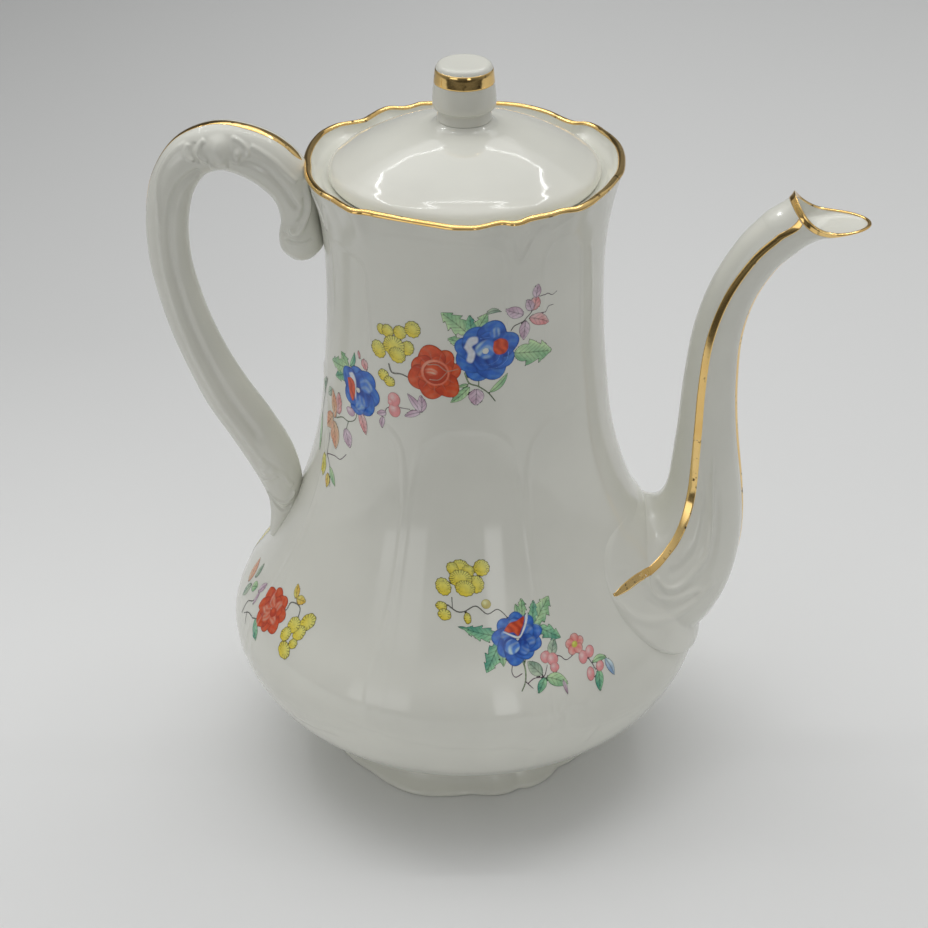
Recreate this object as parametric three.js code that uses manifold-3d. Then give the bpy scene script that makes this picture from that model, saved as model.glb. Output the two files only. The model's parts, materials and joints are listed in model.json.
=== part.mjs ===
// A tall porcelain coffee pot in the rococo taste: a baluster body with eight moulded panels and a scalloped
// rim, a lobed foot, a hollow S-shaped spout on a shell-like base, a scrolled handle, a domed lid that lifts
// off by its knob, and the gilded lines that trim them.
// Millimetres, +Z up, the spout towards +X and the handle towards -X. While it is built, the pot's turning
// axis is the Z axis; at the end the whole pot is centred along its length.

import * as THREE from "three";
import { mergeVertices } from "three/addons/utils/BufferGeometryUtils.js";
import Module from "manifold-3d";

const wasm = await Module();
wasm.setup();

// Body: radii and heights of its outer wall
const undercutHeight = 23.7;
const undercutRadius = 62.6;
const bellyHeight = 50;
const bellyRadius = 76.6;
const waistHeight = 167;
const waistRadius = 43.3;
const rimHeight = 207.8;
const rimRadius = 48.9;
const wall = 4;
const floorThickness = 5.5;
const undersideHeight = 17;

// The body is one casting. It is cut at this height into a lower and an upper solid, so that the
// collision pieces of each follow its hollow.
const seamHeight = 106;
const seamGap = 0.3;

// Moulded panels: double ribs between them
const panels = 8;
const ribHeight = 0.6;
const ribWidth = 1.9;
const ribSpread = 6.4;
const ribSpreadLow = 1.7;
const ribForkHeight = 118;
const ribForkLength = 36;
const ribEndHeight = 46;
const ribFade = 5;

// Scalloped rim and the gallery that the lid sits in
const lobeRise = 2;
const lobeDip = 1.6;
const lobeSmall = 0.7;
const crownRise = 0.5;
const crownDip = 0.2;
const scallopDepth = 16;
const lipThickness = 2.4;
const lipRound = 1.3;
const ledgeDrop = 4.2;
const ledgeRadius = 43.2;
const throatRadius = 39.6;
const throatDepth = 5.5;
const ledgeHeight = rimHeight - ledgeDrop;

// Foot
const footRadius = 43.5;
const footWaistRadius = 39;
const footTopRadius = 40.6;
const footBoreRadius = 36.6;
const footBevel = 0.6;
const footNotch = 3.3;

// Spout: its line, its widths and its mouth
const spoutReach = 125.6;
const spoutBaseTurn = THREE.MathUtils.degToRad(43.8);
const spoutBaseHeight = 69.5;
const spoutBaseHalf = 24;
const spoutBaseLift = 9.3;
const spoutBaseBulge = 10;
const spoutWall = 2.6;
const mouthLength = 24.4;
const mouthWidth = 19.8;
const mouthHeight = 186.8;
const mouthRise = 9.4;
const mouthWall = 1.5;
const spoutNeckTurn = THREE.MathUtils.degToRad(26);
const spoutNeckHeight = 68.2;
const spoutNeckHalf = 19;
const spoutPadRise = 0.9;
const spoutSink = 1.6;
const spoutHollow = 0.74;
const holeWidth = 20;
const holeTall = 24;

// Handle
const handleReach = 98.4;
const handleTop = 221.2;
const handleWidthShare = 0.96;

// Lid and knob
const lidRadius = 41.7;
const lidEdge = 3.6;
const lidRise = 14.5;
const lidThickness = 3.8;
const flangeRadius = 38.7;
const flangeThickness = 3;
const flangeDepth = 13;
const knobRadius = 9.75;
const knobTopRadius = 7.2;
const knobNeckRadius = 8.3;
const knobHeight = 14.1;
const knobNeckHeight = 3.9;
const knobBandTop = 1.6;
const knobBandHeight = 4.3;

// Gilding: thin bands that follow the glaze
const gildThickness = 0.3;
const gildGap = 0.25;
const gildRimDrop = 2.1;
const gildLineWidth = 2.6;
const gildLineSwell = 3.8;
const gildRidgeWidth = 3.4;
const gildHandleWidth = 4.2;
const gildLineEnd = 0.8;

// Clearances
const seatGap = 0.3;
const rimGap = 0.9;

// Heights that follow from the sizes above, up to the top of the knob
const lidCrownHeight = ledgeHeight + seatGap + lidEdge + lidRise;
const potHeight = lidCrownHeight + knobNeckHeight + knobHeight;

const turn = 2 * Math.PI;
const porcelain = new THREE.MeshStandardMaterial({ color: 0xf1efe8, roughness: 0.08, metalness: 0 });
const gold = new THREE.MeshStandardMaterial({ color: 0xc79a45, roughness: 0.22, metalness: 1 });

const mix = (a, b, share) => a + (b - a) * share;
const smooth = (low, high, value) => THREE.MathUtils.smoothstep(value, low, high);

// A closed surface over rings of points. A ring of one point is a pole, and a loop joins the last ring to
// the first. The winding is turned where it would face inwards.
function surfaceOf(rings, loop) {
  const points = rings.flat();
  const starts = [];
  let count = 0;
  for (const ring of rings) {
    starts.push(count);
    count += ring.length;
  }
  const index = [];
  const pairs = loop ? rings.length : rings.length - 1;
  for (let row = 0; row < pairs; row += 1) {
    const next = (row + 1) % rings.length;
    const sides = Math.max(rings[row].length, rings[next].length);
    for (let side = 0; side < sides; side += 1) {
      const a = starts[row] + (side % rings[row].length);
      const b = starts[row] + ((side + 1) % rings[row].length);
      const c = starts[next] + (side % rings[next].length);
      const d = starts[next] + ((side + 1) % rings[next].length);
      if (a !== b) index.push(a, b, d);
      if (c !== d) index.push(a, d, c);
    }
  }
  if (signedVolume(points, index) < 0) index.reverse();
  return new THREE.BufferGeometry().setFromPoints(points).setIndex(index);
}

function signedVolume(points, index) {
  let volume = 0;
  for (let i = 0; i < index.length; i += 3) {
    const [a, b, c] = [points[index[i]], points[index[i + 1]], points[index[i + 2]]];
    volume += a.dot(b.clone().cross(c));
  }
  return volume;
}

function solidOf(geometry) {
  const bare = new THREE.BufferGeometry().setAttribute("position", geometry.getAttribute("position"));
  bare.setIndex(geometry.index);
  const merged = mergeVertices(bare);
  const vertProperties = merged.getAttribute("position").array;
  const triVerts = new Uint32Array(merged.index.array);
  return new wasm.Manifold(new wasm.Mesh({ numProp: 3, vertProperties, triVerts }));
}

function geometryOf(solid) {
  const mesh = solid.getMesh();
  const positions = new THREE.BufferAttribute(mesh.vertProperties, 3);
  return new THREE.BufferGeometry()
    .setAttribute("position", positions)
    .setIndex(new THREE.BufferAttribute(mesh.triVerts, 1));
}

// A point on the pot: radius and height turned to an angle about the axis
function onAxis(radius, height, angle) {
  return new THREE.Vector3(radius * Math.cos(angle), radius * Math.sin(angle), height);
}

// Body profile, from the undercut over the belly and the waist to the rim. Each table gives shares of the
// height and of the radius between two of the named stations.
const lowerShares = [[0.2, 0.37], [0.45, 0.69], [0.73, 0.915]];
const shoulderShares = [[0.09, 0.905], [0.17, 0.715], [0.27, 0.515], [0.4, 0.3], [0.57, 0.125], [0.77, 0.04]];
const neckShares = [[0.35, 0.07], [0.65, 0.34], [0.85, 0.67]];

function between(lowRadius, lowHeight, highRadius, highHeight, shares) {
  return shares.map(([up, across]) => new THREE.Vector2(
    mix(lowRadius, highRadius, across),
    mix(lowHeight, highHeight, up),
  ));
}

const shoulderFromWaist = shoulderShares.map(([up, across]) => [up, 1 - across]);
const profile = new THREE.SplineCurve([
  new THREE.Vector2(undercutRadius, undercutHeight),
  ...between(undercutRadius, undercutHeight, bellyRadius, bellyHeight, lowerShares),
  new THREE.Vector2(bellyRadius, bellyHeight),
  ...between(bellyRadius, bellyHeight, waistRadius, waistHeight, shoulderFromWaist),
  new THREE.Vector2(waistRadius, waistHeight),
  ...between(waistRadius, waistHeight, rimRadius, rimHeight, neckShares),
  new THREE.Vector2(rimRadius, rimHeight),
]);
const profileTable = profile.getPoints(400);

function profileRadius(height) {
  const next = profileTable.findIndex((point) => point.y >= height);
  if (next < 0) return rimRadius;
  if (next === 0) return undercutRadius;
  const [below, above] = [profileTable[next - 1], profileTable[next]];
  return mix(below.x, above.x, (height - below.y) / (above.y - below.y));
}

// Half the space between the two ribs of a pair, which run together below the fork
function ribHalf(height) {
  return mix(ribSpreadLow, ribSpread, smooth(ribForkHeight, ribForkHeight + ribForkLength, height));
}

// Columns of the body: for each panel its middle, its inner part, the rib's foot and crest, and the strip
const columnPlan = ["middle", "inner", "foot", "crest", "strip", "crest", "foot", "inner"];
const reliefShare = { middle: 0, inner: 0, foot: 0, crest: 1, strip: 0.3 };

function columnAngles(radius, height) {
  const half = turn / panels / 2;
  const crest = ribHalf(height) / radius;
  const foot = crest + ribWidth / radius;
  const away = { middle: half, inner: (foot + half) / 2, foot, crest, strip: 0 };
  const columns = [];
  for (let panel = 0; panel < panels; panel += 1) {
    const ribAxis = (panel + 0.5) * 2 * half;
    columnPlan.forEach((kind, place) => {
      const side = place < panels / 2 ? -1 : 1;
      columns.push({ kind, away: away[kind], ribAxis, angle: ribAxis + side * away[kind] });
    });
  }
  return columns;
}

// The rim's lobes: a broad lobe over each panel and a small one over each pair of ribs, with a cusp between
function lobeShare(away) {
  const half = turn / panels / 2;
  const cusp = ribSpread / rimRadius;
  const small = Math.cos((Math.PI / 2) * Math.min(away / cusp, 1)) ** 2;
  const broad = Math.sin((Math.PI / 2) * Math.max((away - cusp) / (half - cusp), 0));
  return { small, broad };
}

function scallop(away, height) {
  const { small, broad } = lobeShare(away);
  const fade = smooth(rimHeight - scallopDepth, rimHeight, height);
  return {
    out: (lobeRise * broad + lobeSmall * small - lobeDip) * fade,
    up: (crownRise * broad + (crownDip / 2) * small - crownDip) * fade,
  };
}

// Ribs fade out above the undercut, and above the spout's base where they would run under it
function ribFadeShare(ribAxis, height) {
  const underSpout = Math.cos(ribAxis) > Math.cos(spoutBaseTurn);
  const end = underSpout ? spoutBaseHeight + spoutBaseHalf + ribFade : ribEndHeight;
  return smooth(end, end + ribFade, height);
}

// One ring of the body. A relief of 0 leaves the ribs out, as on the inside.
function bodyRing(radius, height, relief, offset = 0) {
  const columns = columnAngles(Math.max(radius, waistRadius), height);
  return columns.map(({ kind, away, ribAxis, angle }) => {
    const rise = relief * ribHeight * reliefShare[kind] * ribFadeShare(ribAxis, height);
    const { out, up } = scallop(away, height);
    return onAxis(radius + offset + rise + out, height + up, angle);
  });
}

const outerRows = 23;
function outerRings(offset = 0) {
  return profile.getPoints(outerRows).map((point) => {
    const ribbed = 1 - smooth(rimHeight - lipRound - scallopDepth / 4, rimHeight - lipRound, point.y);
    const height = Math.min(point.y, rimHeight - lipRound);
    return bodyRing(profileRadius(height), height, ribbed, offset);
  });
}

function pole(height) {
  return [new THREE.Vector3(0, 0, height)];
}

// The pot's inner wall, from the floor to the throat under the gallery
const innerShares = [0.165, 0.215, 0.27, 0.335, 0.43, 0.56, 0.72, 0.88];
function innerRings() {
  const floor = undersideHeight + floorThickness;
  const shelf = undercutHeight + wall;
  const low = [
    [undercutRadius - 3 * wall, floor + wall / 4],
    [undercutRadius - wall, shelf],
  ];
  const heights = innerShares.map((share) => share * rimHeight);
  const walls = heights.map((height) => [profileRadius(height) - wall, height]);
  const throat = [[throatRadius, ledgeHeight - throatDepth], [throatRadius, ledgeHeight - lipRound / 2]];
  return [...low, ...walls, ...throat].map(([radius, height]) => plainRing(radius, height));
}

function plainRing(radius, height) {
  return columnAngles(waistRadius, height).map(({ angle }) => onAxis(radius, height, angle));
}

function galleryRings() {
  const shelf = [[throatRadius + lipRound / 2, ledgeHeight], [ledgeRadius, ledgeHeight]];
  const lip = [
    [rimRadius - lipThickness, rimHeight - lipRound],
    [rimRadius - lipThickness + lipRound * 0.6, rimHeight - lipRound * 0.25],
    [rimRadius - lipRound, rimHeight],
    [rimRadius - lipRound * 0.25, rimHeight - lipRound * 0.4],
  ];
  return [
    ...shelf.map(([radius, height]) => plainRing(radius, height)),
    ...lip.map(([radius, height]) => bodyRing(radius, height, 0)),
  ];
}

// The underside bends at these shares of the way from the foot's top out to the undercut
const bendAcrossShare = 0.4;
const bendUpShare = 0.28;
function bendRing(offset) {
  const radius = mix(footTopRadius, undercutRadius, bendAcrossShare);
  return plainRing(radius, mix(undersideHeight, undercutHeight, bendUpShare) - offset);
}

function undersideRings() {
  return [
    plainRing(undercutRadius - lipRound / 2, undercutHeight - lipRound / 2),
    bendRing(0),
    plainRing(footTopRadius + wall / 4, undersideHeight),
    pole(undersideHeight),
  ];
}

// The body's outside as one filled solid, grown by an offset, for trimming what is joined to it
function bodyEnvelope(offset) {
  const under = [
    pole(undersideHeight - offset),
    plainRing(footTopRadius + wall / 4, undersideHeight - offset),
    bendRing(offset),
  ];
  const above = rimHeight + crownRise + gildGap + gildThickness;
  return solidOf(surfaceOf([
    ...under,
    ...outerRings(offset),
    bodyRing(rimRadius, above, 0, offset),
    pole(above),
  ], false));
}

// A smooth run between two places that leaves and arrives in given directions
function hermite(from, leave, to, arrive, share) {
  const [s2, s3] = [share ** 2, share ** 3];
  return from.clone().multiplyScalar(2 * s3 - 3 * s2 + 1)
    .addScaledVector(leave, s3 - 2 * s2 + share)
    .addScaledVector(to, 3 * s2 - 2 * s3)
    .addScaledVector(arrive, s3 - s2);
}

// Spout line in its own plane, as shares of its reach and of the rim's height, with half its thickness as a
// share of the mouth's width. It starts where the tube leaves the shell base and ends below the mouth.
const spoutLineShares = [
  [0.617, 0.478, 0.575], [0.6165, 0.562, 0.477], [0.6195, 0.641, 0.425], [0.633, 0.722, 0.388],
  [0.668, 0.792, 0.374], [0.724, 0.85, 0.38], [0.777, 0.883, 0.4],
];
const spoutLine = new THREE.SplineCurve(
  spoutLineShares.map(([along, up]) => new THREE.Vector2(along * spoutReach, up * rimHeight)),
);
const spoutGirth = new THREE.SplineCurve(
  spoutLineShares.map(([, , girth], place) => new THREE.Vector2(place, girth * mouthWidth)),
);

// Tube ring: share 0 at the shell base, 1 below the mouth. Angle 0 is the outer ridge, a quarter turn on is
// the side towards -Y, and half a turn is the ridge towards the pot.
function tubePoint(share, angle, inset) {
  const centre = spoutLine.getPoint(share);
  const along = spoutLine.getTangent(share);
  const half = spoutGirth.getPoint(share).y - inset;
  const across = half * Math.cos(angle);
  return new THREE.Vector3(
    centre.x + along.y * across,
    -half * Math.sin(angle),
    centre.y - along.x * across,
  );
}

function tubeDirection(share) {
  const along = spoutLine.getTangent(share);
  return new THREE.Vector3(along.x, 0, along.y);
}

// The neck oval: where the tube's fairing rises from the belly, and at a smaller size the hollow inside it
function ovalPoint(angle, size, offset) {
  const height = spoutNeckHeight - spoutNeckHalf * size * Math.cos(angle);
  return onAxis(profileRadius(height) + offset, height, -spoutNeckTurn * size * Math.sin(angle));
}

// The spout's shell base lies on the belly as a thin pad, from an egg-shaped outline at share 0 to the neck
// oval at share 1
function padPoint(angle, share, offset) {
  const swing = mix(spoutBaseTurn, spoutNeckTurn, share) * Math.sin(angle);
  const bulge = Math.sin(angle) ** 2;
  const half = spoutBaseHalf + spoutBaseBulge * bulge;
  const outline = spoutBaseHeight + spoutBaseLift * bulge - half * Math.cos(angle);
  const height = mix(outline, spoutNeckHeight - spoutNeckHalf * Math.cos(angle), share);
  return onAxis(profileRadius(height) + offset, height, -swing);
}

// The fairing leaves the pad towards the oval's middle, turned outwards: more so above and below than beside
const fairingSize = 0.9;
const fairingLiftShare = 1.1;
function fairingLeave(angle, pull) {
  const inwards = ovalPoint(angle, fairingSize, 0).sub(ovalPoint(angle, 1, 0)).normalize();
  const outwards = onAxis(1, 0, -spoutNeckTurn * Math.sin(angle));
  const lift = fairingLiftShare * (1 + Math.cos(angle) ** 2) / 2;
  return inwards.addScaledVector(outwards, lift).normalize().multiplyScalar(pull);
}

// Rim of the mouth: a pear-shaped curve that rises at the back and runs out flat to the pouring tip
function mouthPoint(angle, inset) {
  const half = mouthLength / 2 - inset;
  const across = mouthLength / 2 + half * Math.cos(angle);
  const back = Math.max(1 - across / mouthLength, 0);
  const side = (mouthWidth / 2 - inset) * Math.sin(angle) * (1.02 - 0.12 * Math.cos(angle));
  return new THREE.Vector3(spoutReach - mouthLength + across, -side, mouthHeight + mouthRise * back ** 1.7);
}

function mouthArrive(angle, pull) {
  const out = (1 + Math.cos(angle)) / 2;
  return new THREE.Vector3(mix(0.35, 1, out), -0.25 * Math.sin(angle), mix(0.9, 0.15, out)).multiplyScalar(pull);
}

const spoutSides = 24;
const padShare = 0.32;
const fairingPullShare = 1.35;
const baseShares = [0, 0.03, 0.17, padShare, 0.44, 0.56, 0.7, 0.85];
const tubeSteps = 11;
const mouthSteps = 3;
function spoutPoint(part, share, angle, inset) {
  if (part === "base" && inset === 0 && share < padShare) {
    const offset = mix(-spoutSink, spoutPadRise, smooth(0, baseShares[1], share));
    return padPoint(angle, share / padShare, offset);
  }
  if (part === "base") {
    const from = inset > 0 ? ovalPoint(angle, spoutHollow, -spoutSink) : padPoint(angle, 1, spoutPadRise);
    const along = inset > 0 ? share : (share - padShare) / (1 - padShare);
    const to = tubePoint(0, angle, inset);
    const pull = from.distanceTo(to);
    const arrive = tubeDirection(0).multiplyScalar(pull * fairingPullShare);
    return hermite(from, fairingLeave(angle, pull), to, arrive, along);
  }
  if (part === "mouth") {
    const from = tubePoint(1, angle, inset);
    const to = mouthPoint(angle, inset > 0 ? mouthWall : 0);
    const pull = from.distanceTo(to);
    return hermite(from, tubeDirection(1).multiplyScalar(pull), to, mouthArrive(angle, pull), share);
  }
  return tubePoint(share, angle, inset);
}

// Rows of the spout from the belly to the rim of the mouth, each a part of it and a share of that part
const stepsOf = (part, count) => Array.from({ length: count }, (_, step) => [part, step / count]);
const spoutRows = [
  ...baseShares.map((share) => ["base", share]),
  ...stepsOf("tube", tubeSteps),
  ...stepsOf("mouth", mouthSteps),
  ["mouth", 1],
];

function spoutRings(inset) {
  const onPad = ([part, share]) => part === "base" && share > 0 && share <= padShare;
  const rows = inset > 0 ? spoutRows.filter((row) => !onPad(row)) : spoutRows;
  return rows.map(([part, share]) => Array.from({ length: spoutSides }, (_, side) => (
    spoutPoint(part, share, (side / spoutSides) * turn, inset)
  )));
}

function makeSpout(envelope) {
  const tube = surfaceOf([...spoutRings(0), ...spoutRings(spoutWall).reverse()], true);
  return geometryOf(solidOf(tube).subtract(envelope));
}

// The hole through the belly's wall that feeds the spout
function makeHole() {
  const sides = 20;
  const ring = (along) => Array.from({ length: sides }, (_, side) => {
    const angle = (side / sides) * turn;
    return new THREE.Vector3(
      along,
      (holeWidth / 2) * Math.cos(angle),
      spoutBaseHeight + (holeTall / 2) * Math.sin(angle),
    );
  });
  const inside = waistRadius;
  const outside = bellyRadius + wall;
  const middle = (along) => [new THREE.Vector3(along, 0, spoutBaseHeight)];
  return solidOf(surfaceOf([middle(inside), ring(inside), ring(outside), middle(outside)], false));
}

function makeBody() {
  const floor = pole(undersideHeight + floorThickness);
  const rings = [floor, ...innerRings(), ...galleryRings(), ...outerRings().reverse(), ...undersideRings()];
  return solidOf(surfaceOf(rings, false)).subtract(makeHole());
}

// Foot: a lobed ring. In each quarter turn a broad plain lobe is followed by two small ones, which lie
// deeper, with notches between.
const smallLobeShare = 0.4;
const middleNotchShare = 0.73;
function footNotchShare(angle) {
  const eighth = turn / panels;
  const place = THREE.MathUtils.euclideanModulo(angle, 2 * eighth) / eighth;
  if (place >= 1) return 1 - Math.sin(Math.PI * (place - 1)) ** 0.7;
  const notch = mix(1, middleNotchShare, Math.sin(Math.PI * place));
  const lobe = THREE.MathUtils.euclideanModulo(2 * place, 1);
  return mix(notch, smallLobeShare, Math.sin(Math.PI * lobe) ** 0.7);
}

function makeFoot() {
  const top = undersideHeight - seatGap;
  const section = [
    [footTopRadius, top, 0], [footWaistRadius, top * 0.62, 0.35], [footWaistRadius, top * 0.34, 0.6],
    [footRadius, top * 0.1, 1], [footRadius, footBevel, 1], [footRadius - footBevel, 0, 1],
    [footBoreRadius, 0, 0], [footBoreRadius - footBevel, footBevel, 0], [footBoreRadius - wall / 2, top, 0],
  ];
  const sides = 48;
  const rings = section.map(([radius, height, notch]) => Array.from({ length: sides }, (_, side) => {
    const angle = (side / sides) * turn;
    return onAxis(radius - footNotch * notch * footNotchShare(angle), height, angle);
  }));
  return surfaceOf(rings, true);
}

// Handle line, as shares of its reach (towards -X) and of its top's height, with half its thickness as a
// share of the knob's radius. It starts in the scroll beside the neck and ends in the leaf on the shoulder.
const handleLineShares = [
  [0.512, 0.803, 0.45], [0.514, 0.818, 0.68], [0.514, 0.837, 0.67], [0.516, 0.862, 0.62],
  [0.527, 0.892, 0.7], [0.557, 0.92, 0.8],
  [0.613, 0.945, 0.85], [0.694, 0.962, 0.82], [0.772, 0.9655, 0.79], [0.852, 0.949, 0.75], [0.909, 0.909, 0.71],
  [0.932, 0.856, 0.68], [0.931, 0.806, 0.67], [0.919, 0.768, 0.67], [0.882, 0.703, 0.69], [0.83, 0.641, 0.72],
  [0.769, 0.584, 0.78], [0.698, 0.532, 0.8], [0.634, 0.478, 0.78], [0.602, 0.43, 0.64], [0.606, 0.388, 0.42],
  [0.636, 0.345, 0.2],
];
const handleLine = new THREE.SplineCurve(
  handleLineShares.map(([along, up]) => new THREE.Vector2(-along * handleReach, up * handleTop)),
);
const handleGirth = new THREE.SplineCurve(
  handleLineShares.map(([, , girth], place) => new THREE.Vector2(place, girth * knobRadius)),
);

// Angle 0 is the outer ridge, which carries the gilded line, and a quarter turn on is the side towards -Y
function handlePoint(share, angle) {
  const centre = handleLine.getPoint(share);
  const along = handleLine.getTangent(share);
  const half = handleGirth.getPoint(share).y;
  const across = half * Math.cos(angle);
  return new THREE.Vector3(
    centre.x + along.y * across,
    -half * handleWidthShare * Math.sin(angle),
    centre.y - along.x * across,
  );
}

const handleSteps = 38;
const handleSides = 12;
function makeHandle(envelope, rimEnvelope) {
  const rings = [];
  for (let step = 0; step <= handleSteps; step += 1) {
    const ring = [];
    for (let side = 0; side < handleSides; side += 1) {
      ring.push(handlePoint(step / handleSteps, (side / handleSides) * turn));
    }
    rings.push(ring);
  }
  const [first, last] = [handleLine.getPoint(0), handleLine.getPoint(1)];
  const start = [new THREE.Vector3(first.x, 0, first.y - handleGirth.getPoint(0).y * 0.6)];
  const end = [new THREE.Vector3(last.x, 0, last.y)];
  const solid = solidOf(surfaceOf([start, ...rings, end], false));
  return geometryOf(solid.subtract(envelope).subtract(rimEnvelope));
}

// Lid: a shallow dome with a locating flange below, turned about the pot's axis
function lathe(points, segments) {
  return surfaceOf(points.map(([radius, height]) => (
    radius === 0 ? pole(height) : Array.from({ length: segments }, (_, side) => (
      onAxis(radius, height, (side / segments) * turn)
    ))
  )), false);
}

const lidSides = 36;
const domeShares = [[0.965, 0.1], [0.86, 0.2], [0.72, 0.36], [0.53, 0.58], [0.37, 0.76], [0.27, 0.86]];
function makeLid() {
  const seat = ledgeHeight + seatGap;
  const edgeTop = seat + lidEdge;
  const dome = domeShares.map(([across, up]) => [lidRadius * across, mix(edgeTop, lidCrownHeight, up)]);
  const under = dome.slice(1, 5).map(([radius, height]) => [radius - lidThickness / 2, height - lidThickness]);
  const flangeInner = flangeRadius - flangeThickness;
  const inside = [...under].reverse().filter(([radius]) => radius < flangeInner);
  return lathe([
    [0, lidCrownHeight - lidThickness - wall / 2],
    ...inside,
    [flangeInner, seat],
    [flangeInner, seat - flangeDepth],
    [flangeRadius - flangeThickness / 3, seat - flangeDepth],
    [flangeRadius, seat - flangeDepth + flangeThickness / 3],
    [flangeRadius, seat],
    [lidRadius - lidEdge / 5, seat],
    [lidRadius, seat + lidEdge * 0.35],
    [lidRadius - lidEdge / 8, seat + lidEdge * 0.75],
    ...dome,
    [knobNeckRadius + wall / 4, mix(edgeTop, lidCrownHeight, 0.94)],
    [knobNeckRadius, lidCrownHeight],
    [0, lidCrownHeight],
  ], lidSides);
}

// Knob: a slightly tapered barrel on a short neck. The table gives shares of the radius and of the height.
const knobSides = 28;
const knobShares = [[0.94, 0], [0.99, 0.06], [1, 0.18], [0.98, 0.45], [0.93, 0.6], [0.895, 0.88], [0.84, 0.96]];
function makeKnob() {
  const bottom = potHeight - knobHeight;
  return lathe([
    [0, lidCrownHeight + seatGap],
    [knobNeckRadius, lidCrownHeight + seatGap],
    [knobNeckRadius - seatGap, bottom - seatGap],
    ...knobShares.map(([across, up]) => [knobRadius * across, bottom + knobHeight * up]),
    [knobTopRadius, potHeight],
    [0, potHeight],
  ], knobSides);
}

function knobSide(height) {
  const up = (height - potHeight + knobHeight) / knobHeight;
  const next = knobShares.findIndex((pair) => pair[1] >= up);
  const [below, above] = [knobShares[next - 1], knobShares[next]];
  return knobRadius * mix(below[0], above[0], (up - below[1]) / (above[1] - below[1]));
}

// A closed band: a ring section turned about the axis
function makeKnobBand() {
  const top = potHeight - knobBandTop;
  const heights = [top - knobBandHeight, top - knobBandHeight / 2, top];
  const near = heights.map((height) => [knobSide(height) + gildGap, height]);
  const far = heights.map((height) => [knobSide(height) + gildGap + gildThickness, height]);
  const ring = ([radius, height]) => Array.from({ length: knobSides }, (_, side) => (
    onAxis(radius, height, (side / knobSides) * turn)
  ));
  return surfaceOf([...near, ...far.reverse()].map(ring), true);
}

// Rim gilding: a thin cap over the lip that follows the scallops
function makeRimGilding() {
  const caps = (far) => {
    const grow = gildGap + (far ? gildThickness : 0);
    return [
      bodyRing(profileRadius(rimHeight - gildRimDrop) + grow, rimHeight - gildRimDrop, 0),
      bodyRing(rimRadius + grow, rimHeight - lipRound * 0.4, 0),
      bodyRing(rimRadius - lipRound, rimHeight + grow, 0),
      bodyRing(rimRadius - lipThickness + lipRound * 0.3 - grow, rimHeight - lipRound * 0.4 + grow, 0),
    ];
  };
  return surfaceOf([...caps(false), ...caps(true).reverse()], true);
}

// A gilded line: a thin strip over a surface. The strip has a row of points at each of the surface's own
// rows, so that it lies along the same facets.
const probeShare = 0.016;
function normalAt(pointOf, row, next, angle) {
  const probe = probeShare * turn;
  const chord = pointOf(row, angle + probe).sub(pointOf(row, angle - probe));
  const along = pointOf(next, angle).sub(pointOf(row, angle));
  const normal = new THREE.Vector3().crossVectors(chord, along).normalize();
  return { normal, turnLength: chord.length() / (2 * probe) };
}

function stripOver(rows, edgesAt, pointOf) {
  const rings = rows.map((row, place) => {
    const { angle, half } = edgesAt(place / (rows.length - 1));
    const [before, after] = [rows[Math.max(place - 1, 0)], rows[Math.min(place + 1, rows.length - 1)]];
    const { normal, turnLength } = normalAt(pointOf, before, after, angle);
    const spread = half / turnLength;
    const rise = gildGap + (1 - Math.cos(Math.min(spread, 1))) * turnLength;
    const lift = (side, by) => pointOf(row, angle + side * spread).addScaledVector(normal, -by);
    const far = rise + gildThickness;
    return [lift(-1, rise), lift(1, rise), lift(1, far), lift(-1, far)];
  });
  return surfaceOf([endOf(rings[0]), ...rings, endOf(rings[rings.length - 1])], false);
}

function endOf(ring) {
  const sum = ring.reduce((total, point) => total.add(point), new THREE.Vector3());
  return [sum.divideScalar(ring.length)];
}

// Lines on the spout: one on each side and one on the outer ridge
const sideLineShares = [0.511, 0.68, 0.67, 0.633, 0.633, 0.614, 0.583, 0.64];
const sideLineTurn = new THREE.SplineCurve(
  sideLineShares.map((angle, place) => new THREE.Vector2(place, angle * Math.PI)),
);
const onSpout = ([part, share], angle) => spoutPoint(part, share, angle, 0);
function makeSpoutLine(side) {
  return stripOver(spoutRows.slice(1, -2), (share) => {
    const swell = Math.sin(Math.PI * Math.min(2 * share, 1));
    const width = mix(gildLineWidth, gildLineSwell, swell) * smooth(-0.1, 0.1, share);
    const angle = side * sideLineTurn.getPoint(share).y;
    return { angle, half: Math.max(width, gildLineEnd) / 2 };
  }, onSpout);
}

const lineEndShare = 0.3;
function makeSpoutRidgeLine() {
  return stripOver(spoutRows.slice(4, -2), (share) => {
    const width = gildRidgeWidth * Math.sin(Math.PI * share) ** lineEndShare;
    return { angle: 0, half: Math.max(width, gildLineEnd) / 2 };
  }, onSpout);
}

const handleLineFromShare = 0.27;
const handleLineToShare = 0.865;
function makeHandleLine() {
  const from = Math.round(handleLineFromShare * handleSteps);
  const to = Math.round(handleLineToShare * handleSteps);
  const rows = Array.from({ length: to - from + 1 }, (_, place) => (from + place) / handleSteps);
  return stripOver(rows, (share) => {
    const width = gildHandleWidth * Math.sin(Math.PI * share) ** lineEndShare;
    return { angle: 0, half: Math.max(width, gildLineEnd) / 2 };
  }, handlePoint);
}

// Gilding round the mouth: a thin cap over its rim, with a skirt down the outside. mouthSkin gives a point on
// the spout's outside below the rim, dropped by a share of the last row and raised off the glaze.
function mouthSkin(angle, drop, rise) {
  const [below, rim] = [spoutRows[spoutRows.length - 2], spoutRows[spoutRows.length - 1]];
  const { normal } = normalAt(onSpout, below, rim, angle);
  return onSpout(rim, angle).lerp(onSpout(below, angle), drop).addScaledVector(normal, -rise);
}

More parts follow.
